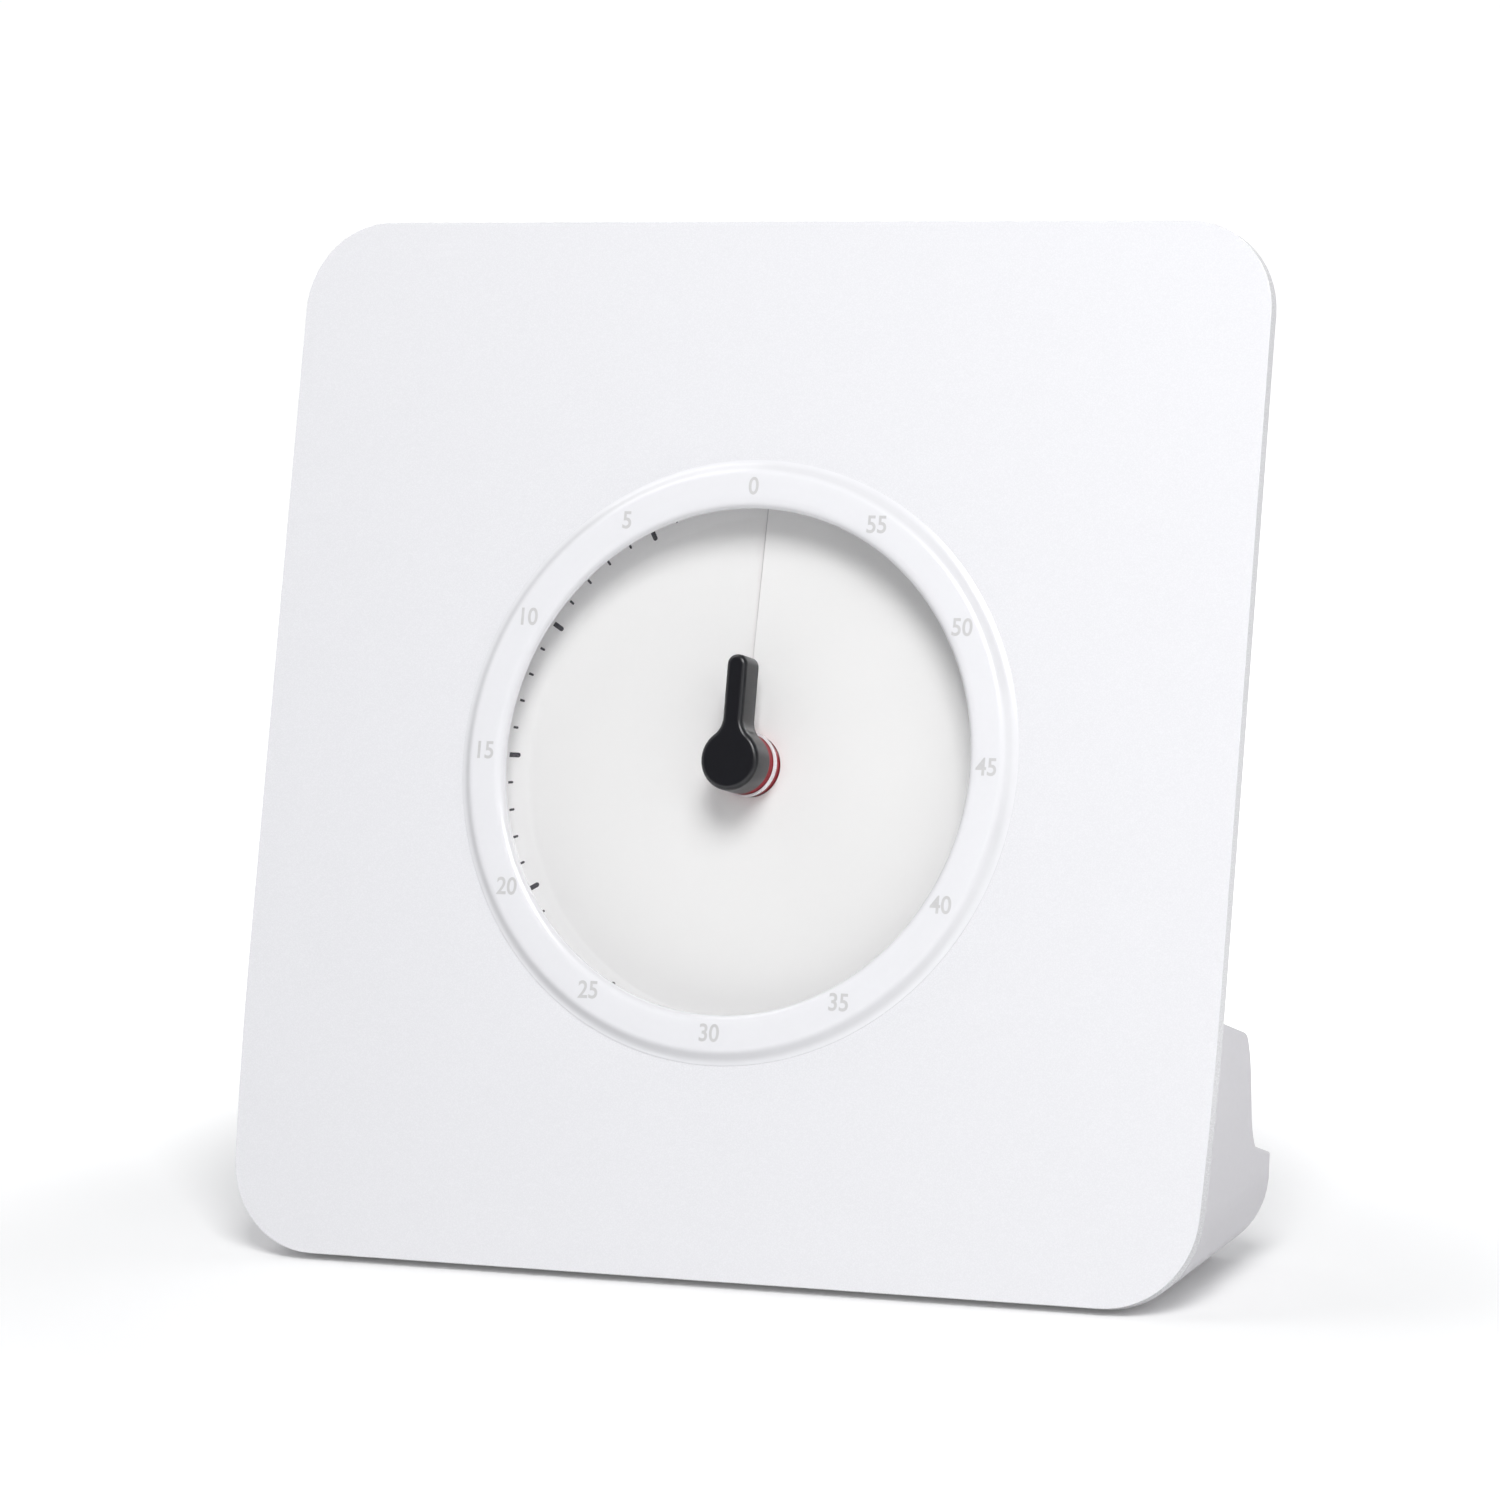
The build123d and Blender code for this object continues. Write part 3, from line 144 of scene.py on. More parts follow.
def moulded(
    name, colour, rough=0.4, vary=0.012, rough_vary=0.05, cell_mm=0.4, bump=0.06, depth=0.02,
    metal=0.0, coat=0.0, coat_rough=0.1, specular=0.5, patch_mm=60.0, brushed=None,
):
    """A solid material with slow tone changes, uneven gloss and a fine surface grain."""
    mat, tree, shader, _ = new_material(name)
    slow = spread(tree, grain(tree, 1000 / patch_mm, 4.0), 0, 1)
    low = tuple(max(0.0, c * (1 - vary)) for c in colour)
    high = tuple(min(1.0, c * (1 + vary)) for c in colour)
    tree.links.new(mixed(tree, slow, low, high), shader.inputs["Base Color"])
    uneven = grain(tree, 1000 / (patch_mm * 0.2), 6.0, brushed)
    tree.links.new(
        spread(tree, uneven, rough - rough_vary, rough + rough_vary), shader.inputs["Roughness"]
    )
    bumped(tree, shader, grain(tree, 1000 / cell_mm, 2.0, brushed), bump, depth)
    shader.inputs["Metallic"].default_value = metal
    shader.inputs["Coat Weight"].default_value = coat
    shader.inputs["Coat Roughness"].default_value = coat_rough
    shader.inputs["Specular IOR Level"].default_value = specular
    return mat


def clear_plastic(name, tint, passes, index, rough):
    """A clear plastic that passes a share of the lamps' light straight to what lies behind."""
    mat, tree, shader, out = new_material(name)
    shader.inputs["Base Color"].default_value = (*tint, 1)
    shader.inputs["Transmission Weight"].default_value = 1.0
    shader.inputs["IOR"].default_value = index
    tree.links.new(
        spread(tree, grain(tree, 40.0, 5.0), 0.0, rough), shader.inputs["Roughness"]
    )
    rays = tree.nodes.new("ShaderNodeLightPath").outputs
    passing = tree.nodes.new("ShaderNodeBsdfTransparent")
    passing.inputs["Color"].default_value = (passes, passes, passes, 1)
    surface = shader.outputs["BSDF"]
    for ray in ("Is Diffuse Ray", "Is Shadow Ray"):
        mix = tree.nodes.new("ShaderNodeMixShader")
        tree.links.new(rays[ray], mix.inputs["Fac"])
        tree.links.new(surface, mix.inputs[1])
        tree.links.new(passing.outputs["BSDF"], mix.inputs[2])
        surface = mix.outputs["Shader"]
    tree.links.new(surface, out.inputs["Surface"])
    return mat


def banded(name, colours, axis, edges_m, rough):
    """Bands of colour along one axis, each from its edge on, as on a wrapped cell."""
    mat, tree, shader, _ = new_material(name)
    coords = tree.nodes.new("ShaderNodeTexCoord")
    split = tree.nodes.new("ShaderNodeSeparateXYZ")
    tree.links.new(coords.outputs["Object"], split.inputs["Vector"])
    ramp = tree.nodes.new("ShaderNodeValToRGB")
    ramp.color_ramp.interpolation = "CONSTANT"
    along = ranged(tree, split.outputs[axis], (edges_m[0], edges_m[-1]), (0, 1))
    tree.links.new(along, ramp.inputs["Fac"])
    reach = edges_m[-1] - edges_m[0]
    stops = ramp.color_ramp.elements
    while len(stops) < len(colours):
        stops.new(0.5)
    for stop, edge, colour in zip(stops, edges_m, colours):
        stop.position = (edge - edges_m[0]) / reach
        stop.color = (*colour, 1)
    tree.links.new(ramp.outputs["Color"], shader.inputs["Base Color"])
    tree.links.new(
        spread(tree, grain(tree, 300.0, 4.0), rough - 0.05, rough + 0.08),
        shader.inputs["Roughness"],
    )
    bumped(tree, shader, grain(tree, 900.0, 3.0), 0.05, 0.05)
    return mat


def greyer_edges(mat, way, share, full, none):
    """Painted shade: darkens a colour by a share where its normal's part along a way falls from
    none to full.
    """
    tree = mat.node_tree
    shader = next(n for n in tree.nodes if n.type == "BSDF_PRINCIPLED")
    colour = shader.inputs["Base Color"].links[0].from_socket
    geometry = tree.nodes.new("ShaderNodeNewGeometry")
    facing = tree.nodes.new("ShaderNodeVectorMath")
    facing.operation = "DOT_PRODUCT"
    tree.links.new(geometry.outputs["Normal"], facing.inputs[0])
    facing.inputs[1].default_value = way
    away = ranged(tree, facing.outputs["Value"], (full, none), (1, 0))
    darker = mixed(tree, away, colour, (1 - share,) * 3, "MULTIPLY")
    tree.links.new(darker, shader.inputs["Base Color"])


PANEL_WHITE = moulded(
    "panel_writing_face", (0.872, 0.872, 0.897), rough=0.27, vary=0.004, rough_vary=0.03,
    cell_mm=0.7, bump=0.02, depth=0.01, coat=0.35, coat_rough=0.12, patch_mm=2.5,
)
# Painted shade: the panel's edges and back, turned away from its front, are darkened by a fifth.
greyer_edges(PANEL_WHITE, NORMAL, share=0.20, full=0.2, none=0.9)
RING_WHITE = moulded(
    "ring_gloss_white", (0.880, 0.880, 0.905), rough=0.24, vary=0.004, rough_vary=0.03,
    cell_mm=0.7, bump=0.02, depth=0.01, coat=0.3, coat_rough=0.08, patch_mm=2.5,
)
# Painted shade: the ring's slopes and lip, and the other parts in this material, darken by up to
# 15 percent as they turn from the front.
greyer_edges(RING_WHITE, NORMAL, share=0.15, full=0.75, none=0.97)
# Painted shade: the stand's colour is darkened well below its own white, to stand in for the shade
# on its side.
STAND_WHITE_SHADED = moulded(
    "stand_white_painted_shade", (0.680, 0.669, 0.696), rough=0.42, vary=0.008, cell_mm=0.5,
    bump=0.08, depth=0.02, patch_mm=2.5,
)
BACK_WHITE = moulded(
    "back_textured_white", (0.840, 0.840, 0.865), rough=0.52, vary=0.012, cell_mm=0.8,
    bump=0.22, depth=0.04, patch_mm=2.0,
)
DIAL_SHEET = moulded(
    "dial_sheet_matt", (0.955, 0.945, 0.938), rough=0.62, vary=0.006, cell_mm=0.5,
    bump=0.05, depth=0.015, specular=0.3, patch_mm=2.0,
)
DISC_RED = moulded(
    "disc_matt_red", (0.66, 0.022, 0.035), rough=0.55, vary=0.03, cell_mm=0.5, bump=0.05,
    depth=0.015,
)
HUB_RED = moulded(
    "hub_moulded_red", (0.30, 0.006, 0.014), rough=0.35, vary=0.03, cell_mm=0.4, bump=0.05,
    depth=0.015, patch_mm=8.0, specular=0.25,
)
KNOB_BLACK = moulded(
    "knob_satin_black", (0.0030, 0.0030, 0.0055), rough=0.30, vary=0.12, rough_vary=0.02,
    cell_mm=0.8, bump=0.02, depth=0.005, patch_mm=10.0, specular=0.52,
)
SATIN_BLACK = moulded(
    "satin_black_plastic", (0.022, 0.022, 0.024), rough=0.45, vary=0.1, cell_mm=0.35, bump=0.2,
    depth=0.03, patch_mm=12.0,
)
SOFT_BLACK = moulded(
    "foot_rubber", (0.03, 0.03, 0.03), rough=0.75, vary=0.12, cell_mm=0.3, bump=0.3,
    depth=0.05, patch_mm=6.0, specular=0.3,
)
GREY_PLASTIC = moulded(
    "dark_grey_plastic", (0.10, 0.10, 0.108), rough=0.5, vary=0.05, cell_mm=0.5, bump=0.2,
    depth=0.03, patch_mm=20.0,
)
ACETAL = moulded(
    "natural_acetal", (0.80, 0.78, 0.70), rough=0.4, vary=0.02, cell_mm=0.4, bump=0.08,
    depth=0.02, patch_mm=12.0,
)
ZINC = moulded(
    "zinc_plated_steel", (0.60, 0.60, 0.59), rough=0.30, vary=0.05, rough_vary=0.1,
    cell_mm=0.15, bump=0.1, depth=0.01, metal=1.0, patch_mm=3.0,
)
STEEL = moulded(
    "ground_steel", (0.56, 0.56, 0.57), rough=0.24, vary=0.03, rough_vary=0.08, cell_mm=0.2,
    bump=0.15, depth=0.01, metal=1.0, patch_mm=8.0, brushed=(1, 8, 8),
)
NICKEL = moulded(
    "nickel_plated_steel", (0.66, 0.65, 0.62), rough=0.22, vary=0.03, rough_vary=0.08,
    cell_mm=0.2, bump=0.08, depth=0.01, metal=1.0, patch_mm=5.0,
)
BRASS = moulded(
    "turned_brass", (0.72, 0.52, 0.22), rough=0.26, vary=0.06, rough_vary=0.1, cell_mm=0.15,
    bump=0.12, depth=0.01, metal=1.0, patch_mm=4.0,
)
SOLDER_MASK = moulded(
    "green_solder_mask", (0.018, 0.16, 0.06), rough=0.32, vary=0.12, cell_mm=0.7, bump=0.12,
    depth=0.03, coat=0.4, patch_mm=10.0,
)
PAPER_CONE = moulded(
    "paper_cone", (0.05, 0.047, 0.043), rough=0.85, vary=0.15, cell_mm=0.6, bump=0.4,
    depth=0.08, patch_mm=6.0, specular=0.2,
)
WIRE_RED = moulded("wire_red", (0.45, 0.015, 0.012), rough=0.42, vary=0.06, cell_mm=0.6, bump=0.1)
WIRE_BLACK = moulded("wire_black", (0.02, 0.02, 0.02), rough=0.42, vary=0.1, cell_mm=0.6, bump=0.1)
WIRE_YELLOW = moulded(
    "wire_yellow", (0.62, 0.50, 0.06), rough=0.42, vary=0.06, cell_mm=0.6, bump=0.1
)
NUMERAL_INK = moulded(
    "numeral_ink", (0.640, 0.635, 0.640), rough=0.5, vary=0.03, cell_mm=0.3, bump=0.1,
    depth=0.01, patch_mm=4.0,
)
TICK_INK = moulded(
    "tick_ink", (0.035, 0.032, 0.040), rough=0.5, vary=0.08, cell_mm=0.3, bump=0.1,
    depth=0.01, patch_mm=4.0,
)
# A grey for the slit's painted shadow.
SLIT_SHADE = moulded(
    "slit_shade", (0.60, 0.595, 0.60), rough=0.6, vary=0.02, cell_mm=0.3, bump=0.05, depth=0.01,
    specular=0.3, patch_mm=4.0,
)
LENS = clear_plastic("clear_acrylic", (0.985, 0.99, 0.99), passes=0.99, index=1.49, rough=0.03)
CELL_END, CELL_BLUE, CELL_COPPER = (0.55, 0.55, 0.55), (0.035, 0.05, 0.09), (0.60, 0.30, 0.06)
BLUE_FROM, COPPER_FROM = 2.0, 14.0   # from the cells' left ends, and from their right ends
cell_low, cell_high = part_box("batteries")
CELL_WRAP = banded(
    "cell_wrap", [CELL_END, CELL_BLUE, CELL_COPPER, CELL_END], "X",
    [cell_low.x, cell_low.x + BLUE_FROM * MM, cell_high.x - COPPER_FROM * MM, cell_high.x],
    rough=0.3,
)


# ---------------------------------------------------------------- mesh helpers
MERGE_M = 1e-7               # points nearer than this are one


def piece(name, points, faces, material, body, replaces=(), sharp=40.0):
    """A mesh piece in the frame's place, smooth except where faces meet at a sharp angle."""
    mesh = bpy.data.meshes.new(name)
    mesh.from_pydata([tuple(p) for p in points], [], faces)
    bm = bmesh.new()
    bm.from_mesh(mesh)
    bmesh.ops.remove_doubles(bm, verts=bm.verts, dist=MERGE_M)
    bmesh.ops.recalc_face_normals(bm, faces=bm.faces)
    limit = math.radians(sharp)
    for face in bm.faces:
        face.smooth = True
    for edge in bm.edges:
        if len(edge.link_faces) == 2 and edge.calc_face_angle() > limit:
            edge.smooth = False
    bm.to_mesh(mesh)
    bm.free()
    obj = bpy.data.objects.new(name, mesh)
    bpy.context.scene.collection.objects.link(obj)
    mesh.materials.append(material)
    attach(obj, body)
    if replaces:
        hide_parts(*replaces)


def joined(loops, count, closed=False):
    """Faces that join each closed loop of count points to the next one."""
    faces = []
    for i in range(loops if closed else loops - 1):
        here, there = i * count, (i + 1) % loops * count
        for k in range(count):
            after = (k + 1) % count
            faces.append((here + k, there + k, there + after, here + after))
    return faces


def lathe(profile, steps=360):
    """Turns a closed (radius, z) profile about the dial's axis; gives points and faces."""
    points = [
        round_dial(radius, 2 * math.pi * i / steps, z)
        for i in range(steps) for radius, z in profile
    ]
    return points, joined(steps, len(profile), closed=True)


# ---------------------------------------------------------------- bezel ring
WINDOW_RADIUS = 103.3
RING_RADIUS = 123.6
RING_HEIGHT = 4.4
RING_UNDER = 2.2             # underside of the flat top
SLOPE_WIDTH = 7.2            # the slope from the flat top down to the rim
SLOPE_ARM = 0.42             # its curve's arms, as a share of its width
SLOPE_FALL = 0.25            # how steeply its low arm falls
RING_EDGE = 0.3              # height of the rim
RIM = [(-0.25, 0.06), (-0.06, -0.02), (0.0, -0.1)]   # its rounding, from ring radius and edge
LIP_WIDTH = 4.6              # the round lip down into the window
LIP_BASE = 1.2
LIP_BACK = 0.6
LIP_FOOT = 2.4               # width of the lip's underside
LIP_EASE = 0.2
SKIRT_RADIUS = 115.6
SKIRT_INNER = 113.2
SKIRT_DEPTH = 14.4
LENS_TOP = -9.3
LENS_SHOULDER = -7.8         # a small ledge holds the lens from the front
LENS_SEAT = 1.6


def ring_profile():
    """The ring's closed section as (radius, z), from the window out and back underneath."""
    lip_top = WINDOW_RADIUS + LIP_WIDTH
    lip = [
        (
            lip_top - LIP_WIDTH * math.sin(math.radians(a)),
            LIP_BASE + (RING_HEIGHT - LIP_BASE) * math.cos(math.radians(a)),
        )
        for a in range(90, -1, -5)
    ]
    slope_top = RING_RADIUS - SLOPE_WIDTH
    flat = [(lip_top + (slope_top - lip_top) * i / 4, RING_HEIGHT) for i in range(1, 4)]
    arm = SLOPE_WIDTH * SLOPE_ARM
    rim = [(RING_RADIUS + out, RING_EDGE + rise) for out, rise in RIM]
    start, end = Vector((slope_top, RING_HEIGHT)), Vector(rim[0])
    start_arm, end_arm = start + Vector((arm, 0)), end + Vector((-arm, arm * SLOPE_FALL))
    slope = []
    steps = 16
    for i in range(steps + 1):
        t = i / steps
        u = 1 - t
        here = u**3 * start + 3 * t * u**2 * start_arm + 3 * t**2 * u * end_arm + t**3 * end
        slope.append((here.x, here.y))
    under = [
        (RING_RADIUS, 0.0),
        (SKIRT_RADIUS, 0.0), (SKIRT_RADIUS, -SKIRT_DEPTH), (SKIRT_INNER, -SKIRT_DEPTH),
        (SKIRT_INNER, LENS_TOP), (SKIRT_INNER - LENS_SEAT, LENS_TOP),
        (SKIRT_INNER - LENS_SEAT, LENS_SHOULDER), (SKIRT_INNER, LENS_SHOULDER),
        (SKIRT_INNER, RING_UNDER), (lip_top, RING_UNDER), (WINDOW_RADIUS + LIP_FOOT, LIP_BACK),
        (WINDOW_RADIUS + LIP_EASE, LIP_BACK), (WINDOW_RADIUS, LIP_BACK + LIP_EASE),
    ]
    return lip + flat + slope + rim[1:] + under


points, faces = lathe(ring_profile())
piece("bezel_ring", points, faces, RING_WHITE, "timer", ("dial_bezel",), 30.0)

# ---------------------------------------------------------------- dial sheets
DIAL_LOW = -17.1             # front of the dial sheet at the low side of its slit
PITCH = 1.4                  # what a sheet rises in its turn
SHEET = 0.4                  # a sheet's thickness
SHEET_HOLE = 12.85
DIAL_RADIUS = 112.6
DISC_RADIUS = 101.5
SLIT_HALF = 0.12             # half the slit's width, in degrees
SLIT_ASIDE = 4.1             # the slit passes this far to the left of the dial's centre
SLIT_SLANT = 0.023           # and comes back towards the middle by this much of its length
SLIT_SHADOW_WIDTH = 0.6              # width of the painted shadow along the dial sheet's cut edge
SLIT_MARGIN = 1.0            # what the shade stays clear of the sheet's hole and outside
INK = 0.03                   # height of print above what it is on
INK_UNDER = 0.01             # how far the minute marks reach into their sheet


def slit_turn(radius):
    """Where the slit is at a radius, in degrees anticlockwise from twelve o'clock."""
    return math.degrees(math.asin((SLIT_ASIDE - SLIT_SLANT * radius) / radius))


def dial_level(turned):
    """Front of the dial sheet, by the angle anticlockwise from its slit."""
    return DIAL_LOW + PITCH * turned / 360.0


def on_sheet(radius, turned, z):
    """A point at a radius and an angle in degrees anticlockwise from the slit."""
    return round_dial(radius, math.radians(90.0 + turned + slit_turn(radius)), z)


def spiral(outer, drop, steps=480, rings=10):
    """A one-turn spiral sheet, dropped below the dial sheet's place; gives points and faces."""
    radii = [SHEET_HOLE + (outer - SHEET_HOLE) * k / rings for k in range(rings + 1)]
    points = []
    for i in range(steps + 1):
        turned = SLIT_HALF + (360.0 - 2 * SLIT_HALF) * i / steps
        z = dial_level(turned) - drop
        points += [on_sheet(r, turned, z) for r in radii]
        points += [on_sheet(r, turned, z - SHEET) for r in reversed(radii)]
    count = 2 * len(radii)
    faces = joined(steps + 1, count)
    for start in (0, steps * count):
        for k in range(rings):
            back = start + count - 1 - k
            faces.append((start + k, start + k + 1, back - 1, back))
    return points, faces


def slit_shade(steps=40):
    """Painted shadow of the slit's step, as a thin dark strip laid on the dial sheet beside its
    cut edge.
    """
    first, last = SHEET_HOLE + SLIT_MARGIN, DIAL_RADIUS - SLIT_MARGIN
    points = []
    for i in range(steps + 1):
        r = first + (last - first) * i / steps
        for side in (0.0, SLIT_SHADOW_WIDTH):
            turned = SLIT_HALF + math.degrees(side / r)
            points.append(on_sheet(r, turned, dial_level(turned) + INK))
    return points, [(k, k + 1, k + 3, k + 2) for k in range(0, 2 * steps, 2)]


points, faces = spiral(DIAL_RADIUS, 0.0)
piece("dial_sheet", points, faces, DIAL_SHEET, "timer", ("dial_face",))
points, faces = slit_shade()
piece("slit_painted_shadow", points, faces, SLIT_SHADE, "timer")
points, faces = spiral(DISC_RADIUS, PITCH / 2)
piece("red_sheet", points, faces, DISC_RED, "disc", ("red_disc",))

# ---------------------------------------------------------------- minute marks
MAJOR_INNER, MAJOR_WIDTH = 105.5, 2.0
MINOR_INNER, MINOR_WIDTH = 108.3, 1.0
MARK_TURN = -0.65            # the printing is turned a little clockwise
MARK_OUTER = 110.6


def mark(turned, inner, width):
    """A minute mark with a rounded inner end, laid on the dial sheet."""
    half = width / 2
    outline = [(MARK_OUTER, -half), (MARK_OUTER, half)]
    for degrees in range(90, -91, -15):
        a = math.radians(degrees)
        outline.append((inner + half - half * math.cos(a), half * math.sin(a)))
    angle = math.radians(90.0 + turned)
    top, under = [], []
    for r, side in outline:
        x = r * math.cos(angle) - side * math.sin(angle)
        y = r * math.sin(angle) + side * math.cos(angle)
        here = math.degrees(math.atan2(y, x)) - 90.0 - slit_turn(math.hypot(x, y))
        z = dial_level(here % 360.0)
        top.append(on_dial(x, y, z + INK))
        under.append(on_dial(x, y, z - INK_UNDER))
    return top, under


points, faces = [], []
for minute in range(60):
    shape = (MINOR_INNER, MINOR_WIDTH) if minute % 5 else (MAJOR_INNER, MAJOR_WIDTH)
    top, under = mark(minute * 6.0 + MARK_TURN, *shape)
    start, count = len(points), len(top)
    points += top + under
    faces.append(tuple(range(start, start + count)))
    faces += [tuple(start + k for k in face) for face in joined(2, count)]
piece("minute_marks", points, faces, TICK_INK, "timer", sharp=20.0)

# ---------------------------------------------------------------- numerals
NUMERAL_HEIGHT = 7.3
NUMERAL_RADIUS = 111.4
FIGURE_RISE = 0.7            # the circle of numerals sits this much above the dial's centre
TYPE_SIZE = 10.0
FIGURE_BOLD = 0.16           # added to each side of a stroke, at that type size
FIGURE_NARROW = 0.94         # width of the figures, as a share of the typeface's own


def numeral(minute):
    """The minute's figures as a flat mesh, in the typeface's own size and place."""
    curve = bpy.data.curves.new("figures", "FONT")
    curve.body = str(minute)
    curve.size = TYPE_SIZE
    curve.resolution_u = 8
    curve.offset = FIGURE_BOLD
    holder = bpy.data.objects.new("figures", curve)
    bpy.context.scene.collection.objects.link(holder)
    bpy.context.view_layer.update()
    flat = bpy.data.meshes.new_from_object(
        holder.evaluated_get(bpy.context.evaluated_depsgraph_get())
    )
    bpy.data.objects.remove(holder)
    bpy.data.curves.remove(curve)
    return flat


def figure_box(mesh):
    """Left, right, low and high ends of a flat mesh."""
    xs = [v.co.x for v in mesh.vertices]
    ys = [v.co.y for v in mesh.vertices]
    return min(xs), max(xs), min(ys), max(ys)


zero = numeral(0)
_, _, zero_low, zero_high = figure_box(zero)
FIGURE_SCALE = NUMERAL_HEIGHT / (zero_high - zero_low)
bpy.data.meshes.remove(zero)
points, faces = [], []
for minute in range(0, 60, 5):
    flat = numeral(minute)
    left, right, _, _ = figure_box(flat)
    angle = math.radians(90.0 + minute * 6.0)
    across = NUMERAL_RADIUS * math.cos(angle)
    up = NUMERAL_RADIUS * math.sin(angle) + FIGURE_RISE
    start = len(points)
    for v in flat.vertices:
        x = (v.co.x - (left + right) / 2) * FIGURE_SCALE * FIGURE_NARROW
        y = (v.co.y - (zero_low + zero_high) / 2) * FIGURE_SCALE
        points.append(on_dial(across + x, up + y, RING_HEIGHT + INK))
    for face in flat.polygons:
        faces.append(tuple(start + k for k in face.vertices))
    bpy.data.meshes.remove(flat)
piece("minute_figures", points, faces, NUMERAL_INK, "timer")

# ---------------------------------------------------------------- knob
KNOB_RADIUS = 12.7
KNOB_FRONT = 7.6
KNOB_BACK = -5.4
KNOB_REACH = 42.9            # dial centre to the pointer's tip
POINTER_HALF = 4.4
TIP_RADIUS = 4.1
BLEND_RADIUS = 9.0           # the hollow round between pointer and grip
FRONT_ROUND = 2.2
BACK_ROUND = 0.5
CROWN_INSET, CROWN_RISE = 0.4, 0.02   # the front face rises a little inside its round edge


def arc(centre, radius, start, sweep, steps, inward=False):
    """Points along an arc, each with the way its surface faces; angles in radians."""
    points = []
    for i in range(steps + 1):
        a = start + sweep * i / steps
        x, y = centre[0] + radius * math.cos(a), centre[1] + radius * math.sin(a)
        points.append((x, y, a + math.pi if inward else a))
    return points


def knob_outline():
    """The knob's outline with its outward normals, right half first from the tip down."""
    blend_x = POINTER_HALF + BLEND_RADIUS
    blend_y = math.sqrt((KNOB_RADIUS + BLEND_RADIUS) ** 2 - blend_x**2)
    tip_y = KNOB_REACH - TIP_RADIUS
    quarter = math.pi / 2
    meet = math.atan2(blend_y, blend_x)
    tip = arc((POINTER_HALF - TIP_RADIUS, tip_y), TIP_RADIUS, quarter, -quarter, 12)
    side = [(POINTER_HALF, tip_y + (blend_y - tip_y) * i / 8, 0.0) for i in range(1, 8)]
    blend = arc((blend_x, blend_y), BLEND_RADIUS, math.pi, meet, 16, inward=True)
    grip = arc((0.0, 0.0), KNOB_RADIUS, meet, -meet - quarter, 48)[1:]
    right = [(x, y, math.cos(a), math.sin(a)) for x, y, a in tip + side + blend + grip]
    left = [(-x, y, -nx, ny) for x, y, nx, ny in reversed(right[:-1])]
    return right + left


def knob_mesh():
    """The knob from its back edge to its front face; gives points and faces."""
    levels = []
    for i in range(9):
        a = math.radians(90 * i / 8)
        levels.append((BACK_ROUND * (1 - math.sin(a)), KNOB_BACK + BACK_ROUND * (1 - math.cos(a))))
    for i in range(11):
        a = math.radians(90 * i / 10)
        levels.append(
            (FRONT_ROUND * (1 - math.cos(a)), KNOB_FRONT - FRONT_ROUND + FRONT_ROUND * math.sin(a))
        )
    levels.append((FRONT_ROUND + CROWN_INSET, KNOB_FRONT + CROWN_RISE))
    outline = knob_outline()
    points = [
        on_dial(x - nx * inset, y - ny * inset, z)
        for inset, z in levels for x, y, nx, ny in outline
    ]
    faces = joined(len(levels), len(outline))
    for start in (0, len(points) - len(outline)):
        faces.append(tuple(range(start, start + len(outline))))
    return points, faces


points, faces = knob_mesh()
piece("pointer_knob", points, faces, KNOB_BLACK, "knob", ("setting_knob",), 50.0)

# ---------------------------------------------------------------- CAD nodes that stay
FINISHES = {
    "front_panel": PANEL_WHITE, "panel_back_cover": BACK_WHITE, "back_cover_screws": ZINC,
    "dial_lens": LENS, "lens_retainer": RING_WHITE, "lens_grommet": RING_WHITE,
    "disc_hub": HUB_RED, "knob_spindle": STEEL, "spindle_bush": BRASS, "spindle_clip": STEEL,
    "dial_tray": BACK_WHITE, "spindle_wheel": ACETAL, "clutch_spring": STEEL,
    "idler_wheel": ACETAL, "idler_pin": STEEL, "gear_cover": GREY_PLASTIC,
    "gear_cover_screws": ZINC, "motor_pinion": BRASS, "geared_motor": ZINC,
    "motor_screws": ZINC, "dial_housing": BACK_WHITE, "housing_screws": ZINC,
    "battery_box": BACK_WHITE, "batteries": CELL_WRAP, "battery_springs": NICKEL,
    "battery_contacts": NICKEL, "battery_door": BACK_WHITE, "circuit_board": SOLDER_MASK,
    "board_components": SATIN_BLACK, "board_screws": ZINC, "sounder": SATIN_BLACK,
    "sounder_cone": PAPER_CONE, "volume_control": SATIN_BLACK, "volume_dial": SATIN_BLACK,
    "battery_wires": WIRE_RED, "motor_wires": WIRE_BLACK, "sounder_wires": WIRE_YELLOW,
    "stand_screws": ZINC, "stand_housing": STAND_WHITE_SHADED, "rubber_feet": SOFT_BLACK,
}
for name, material in FINISHES.items():
    data = NODES[name].data
    data.materials.clear()
    data.materials.append(material)

# ---------------------------------------------------------------- floor and background
FLOOR_HALF_M = 6.0
FLOOR_WHITE = (0.88, 0.88, 0.88)
NEAR_LIFT = 0.12             # extra white that the camera sees on the floor near the timer
FAR_LIFT = 0.70              # and far from it, where the lamps no longer reach
NEAR_M, FAR_M = 0.28, 0.66   # where the one begins to give way to the other, and where it ends
OVAL_MIDDLE_M = -0.07        # both are ovals round a point near the panel's foot
OVAL_SQUEEZE = 1.5           # and this much wider than they are deep
ROOM_TINT = (0.965, 0.975, 1.0)
FRONT_LEVEL = 0.24           # light from the dim room in front and to the right of the timer
BACK_LEVEL = 0.48            # light from the pale backdrop behind it and to its left
ROOM_SLANT = -0.6            # how much the backdrop reaches round to the left
ROOM_CHANGE = (-0.35, 0.35)  # where the room gives way to the backdrop


def math_node(tree, operation, *values):
    """The result of an operation on values that are numbers or sockets."""
    node = tree.nodes.new("ShaderNodeMath")
    node.operation = operation
    for socket, value in zip(node.inputs, values):
        if isinstance(value, (int, float)):
            socket.default_value = value
        else:
            tree.links.new(value, socket)
    return node.outputs["Value"]


